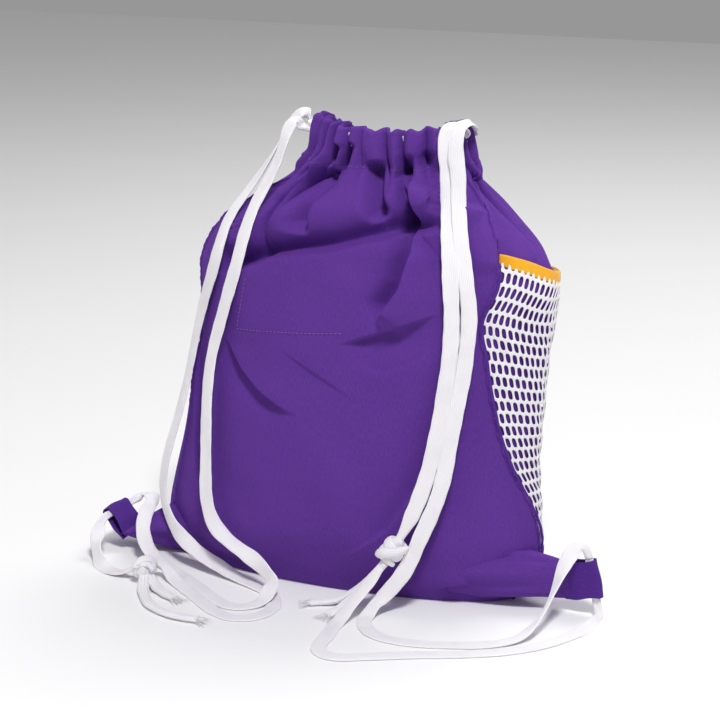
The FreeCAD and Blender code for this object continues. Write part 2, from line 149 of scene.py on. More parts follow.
def unit(vector):
    return vector / np.linalg.norm(vector)


def framed(points, facing):
    """Unit directions across a line's section: sideways, and the way it faces made square."""
    tangent = unit_tangents(points)
    square = facing - tangent * (facing * tangent).sum(1, keepdims=True)
    square /= np.linalg.norm(square, axis=1, keepdims=True)
    return np.cross(tangent, square), square


def turns_round(count):
    return 2 * math.pi * np.arange(count) / count


def squared_off(turn, power_across, power_up):
    """Cosine and sine of turns round a section, flattened towards a rectangle's sides."""
    cosine, sine = np.cos(turn), np.sin(turn)
    return (np.sign(cosine) * np.abs(cosine) ** power_across,
            np.sign(sine) * np.abs(sine) ** power_up)


def swept(points, sides, ups, across, lift, u):
    """Vertices of rings round a line, and their UVs. across and lift hold each ring's offsets
    along sides and ups, one row per point, and u the distance across the cloth."""
    verts = points[:, None] + sides[:, None] * across[..., None] + ups[:, None] * lift[..., None]
    uvs = np.stack(np.broadcast_arrays(u, along_route(points)[:, None]), -1)
    return verts.reshape(-1, 3), uvs.reshape(-1, 2)


def capped_tube(rows, count, first=0):
    """Faces of a closed tube of count vertices a ring, numbered from first."""
    faces = [tuple(first + q for q in quad) for quad in grid_faces(rows, count, closed=True)]
    faces.append(tuple(first + j for j in range(count - 1, -1, -1)))
    faces.append(tuple(first + (rows - 1) * count + j for j in range(count)))
    return faces


def place(obj, body, slot, *replaced):
    """Puts a piece on its body and hides the nodes it stands for."""
    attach(obj, body)
    if replaced:
        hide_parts(*replaced)
    return obj


# ------------------------------------------------------------------ materials
def new_material(name):
    material = bpy.data.materials.new(name)
    material.use_nodes = True
    tree = material.node_tree
    shader = tree.nodes["Principled BSDF"]
    return material, tree, shader


def node(tree, kind, inputs=None, **settings):
    made = tree.nodes.new(kind)
    for key, value in settings.items():
        setattr(made, key, value)
    for key, value in (inputs or {}).items():
        if isinstance(value, bpy.types.NodeSocket):
            tree.links.new(value, made.inputs[key])
        else:
            made.inputs[key].default_value = value
    return made


def maths(tree, operation, first, second=0.0):
    return node(tree, "ShaderNodeMath", {0: first, 1: second}, operation=operation).outputs[0]


def weighted_sum(tree, *terms):
    """Sum of (value, weight) pairs."""
    total = None
    for value, weight in terms:
        scaled = value if weight == 1 else maths(tree, "MULTIPLY", value, weight)
        total = scaled if total is None else maths(tree, "ADD", total, scaled)
    return total


def ribs(tree, value, pitch):
    """Rounded ribs, 0 to 1, one every pitch."""
    return maths(tree, "ABSOLUTE", maths(
        tree, "SINE", maths(tree, "MULTIPLY", value, math.pi / pitch)))


def noise(tree, vector, scale, detail, **inputs):
    return node(tree, "ShaderNodeTexNoise", {"Vector": vector, "Scale": scale,
                                             "Detail": detail, **inputs}).outputs[0]


def uv_axes(tree):
    """The cloth's own coordinates: the vector, then across and along it."""
    vector = node(tree, "ShaderNodeUVMap", uv_map="UVMap").outputs[0]
    axes = node(tree, "ShaderNodeSeparateXYZ", {0: vector})
    return vector, axes.outputs[0], axes.outputs[1]


def colour_by(tree, shader, value, low, dark, high, light):
    """Base colour that goes from dark at the value low to light at high."""
    ramp = node(tree, "ShaderNodeValToRGB", {0: value})
    for element, position, colour in zip(ramp.color_ramp.elements, (low, high), (dark, light)):
        element.position = position
        element.color = (*colour, 1)
    tree.links.new(ramp.outputs[0], shader.inputs["Base Color"])


def set_surface(tree, shader, height, strength, distance, **settings):
    """Links the relief and sets the shader's inputs, with _ for the spaces in their names."""
    bumped = node(tree, "ShaderNodeBump", {"Height": height, "Strength": strength,
                                           "Distance": distance})
    tree.links.new(bumped.outputs[0], shader.inputs["Normal"])
    for key, value in settings.items():
        shader.inputs[key.replace("_", " ")].default_value = value


def woven_fabric(name, deep, lit, pitch=0.00062):
    """Matt woven polyester with slubby crosswise threads. UVs are metres along the cloth."""
    material, tree, shader = new_material(name)
    vector, across, along = uv_axes(tree)
    wobble = maths(tree, "MULTIPLY", noise(tree, vector, 260.0, 2.0), pitch * 0.9)
    warp, weft = [maths(tree, "SINE", maths(tree, "MULTIPLY", maths(tree, "ADD", value, wobble),
                                            math.pi / pitch)) for value in (across, along)]
    over_and_under = maths(tree, "MULTIPLY", warp, weft)
    weave = weighted_sum(tree, (over_and_under, 0.6), (maths(tree, "ABSOLUTE", warp), 1),
                         (maths(tree, "ABSOLUTE", weft), 1))
    stretch = node(tree, "ShaderNodeMapping", {"Vector": vector, "Scale": (1500.0, 210.0, 1.0)})
    slub = noise(tree, stretch.outputs[0], 1.0, 3.0, Roughness=0.6)
    crinkle = noise(tree, vector, 75.0, 4.0, Roughness=0.65)
    broad = noise(tree, vector, 9.0, 3.0)
    colour_by(tree, shader, weighted_sum(tree, (slub, 0.75), (broad, 0.35)), 0.30, deep, 0.78, lit)
    height = weighted_sum(tree, (weave, 0.22), (slub, 0.55), (crinkle, 0.9))
    set_surface(tree, shader, height, 0.45, 0.0006, Roughness=0.85, Specular_IOR_Level=0.12,
                Sheen_Weight=0.16, Sheen_Roughness=0.45,
                Sheen_Tint=(*[min(1.0, c * 3.2) for c in lit], 1))
    return material


def braided_cord(name):
    """Soft flat white cord with fine ribs along it. U runs across the width, V along."""
    material, tree, shader = new_material(name)
    vector, across, along = uv_axes(tree)
    rib = ribs(tree, across, 0.00135)
    row = ribs(tree, along, 0.0011)
    fuzz = noise(tree, vector, 900.0, 3.0)
    soil = noise(tree, vector, 45.0, 2.0)
    # Base colour: painted shade in the grooves between the ribs, darker where the rib relief is
    # low, mixed with patchy soiling from noise.
    colour_by(tree, shader, weighted_sum(tree, (rib, 0.35), (soil, 0.65)),
              0.15, (0.74, 0.71, 0.78), 0.62, (0.90, 0.88, 0.91))
    height = weighted_sum(tree, (rib, 0.8), (row, 0.25), (fuzz, 0.4))
    set_surface(tree, shader, height, 0.5, 0.00035, Roughness=0.88, Specular_IOR_Level=0.15,
                Sheen_Weight=0.25, Subsurface_Weight=0.12,
                Subsurface_Radius=(0.004, 0.004, 0.005))
    return material


def grainy(name, dark, light, scale, roughness):
    """Thread and net: colour and fine relief from noise in the object's own space."""
    material, tree, shader = new_material(name)
    grain = noise(tree, node(tree, "ShaderNodeTexCoord").outputs["Object"], scale, 3.0)
    colour_by(tree, shader, grain, 0.35, dark, 0.65, light)
    set_surface(tree, shader, grain, 0.3, 0.0004, Roughness=roughness,
                Specular_IOR_Level=0.25, Sheen_Weight=0.2)
    return material


def binding_tape(name):
    """Yellow grosgrain tape: fine ribs across its width. V runs across the tape."""
    material, tree, shader = new_material(name)
    vector, along, _ = uv_axes(tree)
    colour_by(tree, shader, noise(tree, vector, 60.0, 3.0),
              0.3, (0.95, 0.42, 0.0), 0.7, (1.0, 0.50, 0.0))
    set_surface(tree, shader, ribs(tree, along, 0.0009), 0.45, 0.0003, Roughness=0.6,
                Sheen_Weight=0.2)
    return material


PURPLE = woven_fabric("purple_fabric", (0.086, 0.027, 0.225), (0.142, 0.046, 0.345))
PURPLE_TRIM = woven_fabric("purple_strip", (0.060, 0.018, 0.190), (0.105, 0.034, 0.290),
                           pitch=0.0009)
WHITE_CORD = braided_cord("white_cord")
WHITE_NET = grainy("white_net", (0.80, 0.78, 0.82), (0.90, 0.88, 0.90), 1400.0, 0.7)
YELLOW_TAPE = binding_tape("yellow_tape")
THREAD = grainy("sewing_thread", (0.16, 0.06, 0.30), (0.30, 0.13, 0.42), 2500.0, 0.6)


# ------------------------------------------------------------------ the filled bag's form
# Level, middle in x and y, half width and half depth, as in the design.
OUTLINE = np.array([
    (0.000, 0.008, -0.002, 0.152, 0.046),
    (0.012, 0.006, -0.001, 0.165, 0.057),
    (0.045, 0.011, 0.001, 0.167, 0.064),
    (0.110, 0.015, 0.007, 0.156, 0.066),
    (0.190, 0.024, 0.012, 0.150, 0.065),
    (0.255, 0.025, 0.016, 0.156, 0.063),
    (0.280, 0.026, 0.018, 0.144, 0.056),
    (0.300, 0.029, 0.021, 0.119, 0.046),
    (0.318, 0.033, 0.023, 0.096, 0.037),
    (0.340, 0.035, 0.026, 0.074, 0.028),
    (0.350, 0.034, 0.028, 0.064, 0.026),
    (0.380, 0.033, 0.028, 0.061, 0.025)])
SEAM_RIGHT = np.array([
    (0.000, 2), (0.053, 0), (0.070, -2), (0.097, -17), (0.120, -25), (0.144, -31),
    (0.181, -37), (0.206, -40), (0.232, -45), (0.259, -38), (0.281, -34), (0.304, -28),
    (0.318, -23), (0.341, -5), (0.350, 0), (0.380, 0)])
SEAM_LEFT = np.array([
    (0.000, -154), (0.045, -155), (0.100, -160), (0.200, -162), (0.280, -165),
    (0.330, -174), (0.350, -180), (0.380, -180)])


def eased_table(table, spread=0.006):
    """A table over level, resampled every millimetre and rounded off."""
    levels = np.arange(-0.03, 0.411, 0.001)
    kernel = np.exp(-0.5 * (np.arange(-20, 21) * 0.001 / spread) ** 2)
    kernel /= kernel.sum()
    columns = [levels]
    for k in range(1, table.shape[1]):
        values = np.interp(levels, table[:, 0], table[:, k])
        columns.append(np.convolve(np.pad(values, 20, mode="edge"), kernel, mode="valid"))
    return np.array(columns)


OUTLINE_EASED = eased_table(OUTLINE)
SEAM_RIGHT_EASED = eased_table(SEAM_RIGHT, 0.010)
SEAM_LEFT_EASED = eased_table(SEAM_LEFT, 0.010)


def at_level(table, level):
    return [np.interp(level, table[0], column) for column in table[1:]]


def distance_to(x, z, line):
    """Signed distance from (x, z) to a polyline, positive on its left, and the share along it."""
    line = np.asarray(line, float)
    best = np.full(np.shape(x), 1e9)
    sign = np.ones(np.shape(x))
    along = np.zeros(np.shape(x))
    lengths = np.linalg.norm(np.diff(line, axis=0), axis=1)
    total = lengths.sum()
    travelled = 0.0
    for start, finish, run in zip(line, line[1:], lengths):
        dx, dz = (finish - start) / run
        t = np.clip((x - start[0]) * dx + (z - start[1]) * dz, 0, run)
        gap_x = x - start[0] - t * dx
        gap_z = z - start[1] - t * dz
        gap = np.hypot(gap_x, gap_z)
        nearer = gap < best
        best = np.where(nearer, gap, best)
        sign = np.where(nearer, np.sign(dx * gap_z - dz * gap_x), sign)
        along = np.where(nearer, (travelled + t) / total, along)
        travelled += run
    return best * sign, along


def crease(x, z, line, left_depth, left_width, right_depth, right_width, ends):
    """Relief beside a crease: each side has its own height at the line and reach from it."""
    signed, along = distance_to(x, z, line)
    fade = smooth(along / ends) * smooth((1 - along) / ends)
    left = left_depth * np.exp(-(signed / left_width) ** 2)
    right = right_depth * np.exp(-(signed / right_width) ** 2)
    blend = smooth(0.5 + signed / 0.0024)
    return fade * (blend * left + (1 - blend) * right)


def cusp(phase):
    """Round ridges with narrow valleys between them, from -1 to 1."""
    return 2.0 * np.abs(np.sin(math.pi * phase)) ** 0.62 - 1.0


def gathers(theta, level):
    """Pleats gathered at the neck: fine in the channel, merging into fewer folds below it."""
    warped = (theta / (2 * math.pi) + 0.011 * np.sin(3 * theta + 1.0)
              + 0.007 * np.sin(7 * theta + 2.5) + 0.004 * np.sin(11 * theta + 0.7))
    sway = 0.35 * np.sin(5 * theta + level * 60.0)
    strength = 1.0 + 0.35 * np.sin(5 * theta + 0.4) + 0.25 * np.sin(9 * theta + 2.0)
    lean = 7.0 * (level - NECK) * np.sin(4 * theta + 0.8)
    fine = 0.0054 * smooth((level - 0.326) / 0.022) * cusp(26 * warped + 0.2 * sway + lean)
    middle = 0.0060 * hump(level, 0.292, 0.366) * cusp(13 * warped + 0.3 + sway)
    coarse = 0.0050 * hump(level, 0.250, 0.345) * cusp(6 * warped + 0.1 + 0.5 * sway)
    ends = 1.0 - 0.55 * np.cos(theta) ** 8 * smooth((0.345 - level) / 0.02)
    return ends * strength * (fine + middle + coarse)


def ripples(theta, level):
    """Slow unevenness of soft cloth over its filling."""
    return 0.0011 * (
        np.sin(3 * theta + 21 * level + 0.3) * np.sin(34 * level + 1.2 + 2 * theta)
        + 0.7 * np.sin(7 * theta - 33 * level + 2.0)
        + 0.5 * np.sin(11 * theta + 57 * level) * np.sin(23 * level + 4 * theta))


# Creases, by place (x, z): a line, then the height and reach of the relief on its left and on
# its right, and the share of the line over which each of its ends fades out.
STRAP_SIDE_CREASES = [
    # Long bright fold that falls from the channel, steep on its left.
    ([(0.064, 0.352), (0.070, 0.330), (0.078, 0.306), (0.080, 0.285),
     (0.074, 0.256), (0.054, 0.226)],
     0.0120, 0.020, -0.0110, 0.012, 0.12),
    # Deep dark pleats under the channel.
    ([(0.033, 0.356), (0.036, 0.340), (0.042, 0.320), (0.050, 0.302)],
     -0.020, 0.007, -0.020, 0.007, 0.2),
    ([(0.002, 0.340), (-0.002, 0.331), (-0.011, 0.318), (-0.017, 0.304),
     (-0.019, 0.286)], -0.017, 0.0045, -0.020, 0.012, 0.2),
    ([(-0.042, 0.345), (-0.046, 0.334), (-0.053, 0.320), (-0.058, 0.308)],
     -0.012, 0.005, -0.012, 0.007, 0.2),
    ([(-0.003, 0.358), (-0.022, 0.341), (-0.038, 0.325), (-0.052, 0.316)],
     0.009, 0.008, 0.006, 0.007, 0.2),
    ([(0.001, 0.366), (-0.002, 0.354), (-0.007, 0.334)],
     -0.011, 0.004, -0.011, 0.003, 0.2),
    ([(0.013, 0.368), (0.009, 0.356), (0.002, 0.340)],
     -0.009, 0.004, -0.009, 0.003, 0.2),
    ([(0.061, 0.362), (0.062, 0.350), (0.063, 0.334)],
     -0.010, 0.003, -0.010, 0.006, 0.3),
    ([(0.072, 0.362), (0.075, 0.352), (0.080, 0.343), (0.086, 0.338)],
     -0.008, 0.007, -0.008, 0.003, 0.3),
    # Puffed fold whose top edge stands out under the channel.
    ([(0.050, 0.339), (0.064, 0.343), (0.076, 0.337), (0.092, 0.327)],
     -0.009, 0.007, 0.005, 0.014, 0.2),
    # Folds on the shoulder, right of the cords.
    ([(0.104, 0.340), (0.122, 0.320), (0.132, 0.308), (0.142, 0.284),
     (0.146, 0.268)], -0.006, 0.010, 0.005, 0.010, 0.15),
    ([(0.090, 0.326), (0.112, 0.319), (0.130, 0.312)],
     -0.005, 0.009, 0.005, 0.014, 0.4),
    ([(0.100, 0.318), (0.110, 0.300), (0.116, 0.262), (0.118, 0.236)],
     -0.005, 0.008, 0.003, 0.010, 0.2),
    # Sagging fold at the left: bright lip above a dark pocket.
    ([(-0.092, 0.200), (-0.080, 0.188), (-0.066, 0.174), (-0.047, 0.160),
     (-0.026, 0.149), (-0.008, 0.143)],
     0.0030, 0.016, -0.0056, 0.014, 0.35),
    ([(-0.034, 0.200), (-0.006, 0.187), (0.022, 0.173), (0.044, 0.160)],
     0.0006, 0.010, -0.0012, 0.012, 0.4),
    # Hollow under the right strap, with a crisp upper edge.
    ([(0.022, 0.205), (0.052, 0.216), (0.080, 0.227), (0.108, 0.238)],
     0.0024, 0.014, -0.0052, 0.018, 0.35),
    ([(0.036, 0.192), (0.062, 0.188), (0.086, 0.197), (0.106, 0.214)],
     0.0, 0.010, 0.0026, 0.014, 0.3),
    # Long soft folds lower down.
    ([(0.118, 0.205), (0.110, 0.150), (0.096, 0.100), (0.070, 0.060),
     (0.030, 0.030)], 0.0030, 0.020, -0.0030, 0.018, 0.3),
    ([(-0.118, 0.190), (-0.122, 0.140), (-0.118, 0.095), (-0.100, 0.050)],
     -0.0030, 0.014, 0.0022, 0.018, 0.3),
    ([(0.165, 0.034), (0.152, 0.026), (0.135, 0.018), (0.105, 0.012)],
     -0.0055, 0.010, 0.0030, 0.012, 0.25),
]
FAR_SIDE_CREASES = [
    ([(-0.090, 0.262), (-0.030, 0.276), (0.040, 0.270), (0.110, 0.258)],
     -0.008, 0.024, 0.0025, 0.022, 0.2),
    ([(0.010, 0.350), (0.000, 0.320), (-0.020, 0.285)],
     -0.009, 0.008, 0.004, 0.012, 0.2),
    ([(0.050, 0.350), (0.062, 0.315), (0.068, 0.280), (0.058, 0.240)],
     0.007, 0.014, -0.005, 0.011, 0.2),
    ([(-0.110, 0.170), (-0.070, 0.150), (-0.020, 0.146)],
     0.003, 0.016, -0.003, 0.018, 0.3),
    ([(0.030, 0.120), (-0.010, 0.095), (-0.060, 0.085)],
     0.002, 0.014, -0.002, 0.016, 0.3),
]


def creased(x, z, creases):
    """The relief of all these creases together."""
    total = np.zeros(np.shape(x))
    for line, *shape in creases:
        total += crease(x, z, line, *shape)
    return total


def strap_side_folds(x, z):
    """The folds of the panel that the straps lie on: the filling's top edge, and creases."""
    top_edge = [(-0.100, 0.247), (-0.067, 0.258), (-0.043, 0.269), (0.012, 0.279),
                (0.039, 0.287), (0.078, 0.297), (0.118, 0.304)]
    signed, along = distance_to(x, z, top_edge)
    above = np.clip(signed, 0, None)
    reach = smooth(along / 0.12) * smooth((1 - along) / 0.20)
    tuck = smooth(0.5 + signed / 0.0040) * np.exp(-(above / 0.0130) ** 2)
    belly = np.exp(-((signed - 0.034) / 0.0150) ** 2)
    total = reach * (-0.0190 * tuck + 0.0085 * belly)
    below = np.clip(-signed, 0, None)
    total += 0.0035 * np.exp(-(below / 0.022) ** 2) * (signed < 0) * reach
    return total + creased(x, z, STRAP_SIDE_CREASES)


def channel_sag(across):
    """How far the gathered channel droops; across runs from -1 on the strap side to 1."""
    return np.where(across < 0, 0.0075, 0.0190) * np.abs(across) ** 1.5


def bag_surface(theta, level, outset=0.0):
    """Points of the bag's outer face, with unit outward directions in plan."""
    mid_x, mid_y, half_width, half_depth = at_level(OUTLINE_EASED, level)
    cosine, sine = np.cos(theta), np.sin(theta)
    x = mid_x + half_width * cosine
    y = mid_y + half_depth * sine
    normal = np.stack([cosine / half_width, sine / half_depth], -1)
    normal /= np.linalg.norm(normal, axis=-1, keepdims=True)
    near = smooth(0.5 - 2.2 * sine)
    relief = near * strap_side_folds(x, level) + (1 - near) * creased(x, level, FAR_SIDE_CREASES)
    relief += gathers(theta, level) + ripples(theta, level) * smooth(level / 0.02) + outset
    x = x + normal[..., 0] * relief
    y = y + normal[..., 1] * relief
    sag = channel_sag(sine) * smooth((level - 0.300) / 0.050)
    return np.stack([x, y, level - sag], -1), normal


def press_under(points, normal, routes, half_width=0.0068, clearance=0.0014):
    """Pushes cloth in behind the cords that lie against it."""
    flat = points.reshape(-1, 3)
    ways = np.concatenate([normal.reshape(-1, 2), np.zeros((len(flat), 1))], axis=1)
    for route in routes:
        low, high = route.min(0) - 0.02, route.max(0) + 0.02
        for start in range(0, len(flat), 20000):
            part = slice(start, start + 20000)
            here = flat[part]
            close = np.all((here > low) & (here < high), axis=1)
            if not close.any():
                continue
            chosen = np.nonzero(close)[0]
            gaps = here[chosen][:, None, :] - route[None, :, :]
            nearest = np.argmin((gaps ** 2).sum(2), axis=1)
            gap = gaps[np.arange(len(chosen)), nearest]
            way = ways[part][chosen]
            out = (gap * way).sum(1)
            beside = np.sqrt(np.clip((gap ** 2).sum(1) - out ** 2, 0, None))
            allowed = -clearance + 0.55 * np.clip(beside - half_width, 0, None) \
                + np.where(beside > 0.016, 1.0, 0.0)
            push = np.clip(out - allowed, 0, 0.03)
            here[chosen] -= way * push[:, None]
            flat[part] = here
    return flat.reshape(points.shape)


def panel_grid(left, right):
    """Angle and level of a panel's vertices between two seams, from the floor to the neck."""
    levels = np.concatenate([np.linspace(0.0, 0.030, 36)[:-1], np.linspace(0.030, NECK, 288)])
    start = np.radians(at_level(left, levels)[0])
    finish = np.radians(at_level(right, levels)[0])
    share = np.linspace(0, 1, 420)
    theta = start[:, None] + (finish - start)[:, None] * share[None, :]
    return theta, np.repeat(levels[:, None], len(share), axis=1)


def add_neck_rows(points, theta):
    """Carries a panel on over its drawstring channel, over the top and down inside."""
    fold = 0.0045
    rows = []
    for share in np.linspace(0.03, 1, 26):
        rows.append((NECK + (CHANNEL_FOLD - NECK) * share,
                     0.0022 * math.sin(math.pi * share) ** 0.8))
    for turn in np.linspace(0.1, math.pi, 12):
        rows.append((CHANNEL_FOLD + fold * math.sin(turn), -fold + fold * math.cos(turn)))
    for share in np.linspace(0.06, 1, 22):
        rows.append((CHANNEL_FOLD - 0.0280 * share,
                     -2 * fold - 0.0012 * math.sin(math.pi * share)))
    neck_rows = []
    for level, outset in rows:
        row, _ = bag_surface(theta[-1], np.full(theta.shape[1], max(level, NECK)), outset)
        row[:, 2] += level - max(level, NECK)
        row[:, 2] += 0.0014 * np.sin(theta[-1] * 23 + 2 * np.sin(theta[-1] * 5)) \
            * smooth((level - 0.362) / 0.012)
        neck_rows.append(row)
    return np.concatenate([points, np.array(neck_rows)])


def cloth_uvs(points):
    """Metres along the cloth: across each row, and up each column."""
    across = np.zeros(points.shape[:2])
    across[:, 1:] = np.cumsum(np.linalg.norm(np.diff(points, axis=1), axis=2), axis=1)
    across -= across[:, points.shape[1] // 2][:, None]
    up = np.zeros(points.shape[:2])
    up[1:] = np.cumsum(np.linalg.norm(np.diff(points, axis=0), axis=2), axis=0)
    middle = np.median(up, axis=1)[:, None]
    return np.stack([across, 0.5 * up + 0.5 * middle], -1).reshape(-1, 2)


def build_panel(name, left, right, node_names):
    theta, level = panel_grid(left, right)
    points, normal = bag_surface(theta, level)
    points = press_under(points, normal, LYING_CORDS)
    points = add_neck_rows(points, theta)
    floor_row = points[:1].copy()
    under = []
    for share in (0.12, 0.35, 0.6, 0.85, 1.0):
        row = floor_row.copy()
        row[..., 1] = row[..., 1] * (1 - share) + (-0.010) * share
        row[..., 2] = CLOTH_THICKNESS
        under.append(row[0])
    points = np.concatenate([np.array(under[::-1]), points])
    points[..., 2] = np.maximum(points[..., 2], CLOTH_THICKNESS)
    rows, columns = points.shape[:2]
    panel = mesh_object(name, points.reshape(-1, 3), grid_faces(rows, columns),
                        cloth_uvs(points), [PURPLE])
    apply_modifier(panel, "SOLIDIFY", thickness=CLOTH_THICKNESS, offset=-1.0)
    return place(panel, "bag", "woven_panel", *node_names)


# ------------------------------------------------------------------ drawcords
LOWER, UPPER = 0.3634, 0.3710      # levels of the two cords inside the channels

# Tabs: where each is sewn on, and how it points, as in the design.
LEFT_ROOT = Vector((-0.183, -0.028, 0.013))
LEFT_OUT = Vector((math.cos(math.radians(128)), 0, math.sin(math.radians(128))))
LEFT_ALONG = Vector((0, -1, 0))                     # back end to near end of its tunnel
RIGHT_ROOT = Vector((0.208, -0.015, 0.026))
RIGHT_OUT = Vector((math.cos(math.radians(12)), 0, math.sin(math.radians(12))))
RIGHT_ALONG = Vector((math.sin(math.radians(12)), 0, -math.cos(math.radians(12))))
TAB_REACH = 0.0215
TAB_HALF = 0.0165
LEFT_TIP = LEFT_ROOT + LEFT_OUT * TAB_REACH
RIGHT_TIP = RIGHT_ROOT + RIGHT_OUT * TAB_REACH
# Where the cords enter and leave the tabs.
LEFT_BACK = tuple(LEFT_TIP - LEFT_ALONG * TAB_HALF)
LEFT_NEAR = tuple(LEFT_TIP + LEFT_ALONG * TAB_HALF)
RIGHT_TOP = tuple(RIGHT_TIP - RIGHT_ALONG * TAB_HALF)
RIGHT_FOOT = tuple(RIGHT_TIP + RIGHT_ALONG * TAB_HALF)
FLOOR = 0.0032                     # level of the middle of the design's round cord on the floor

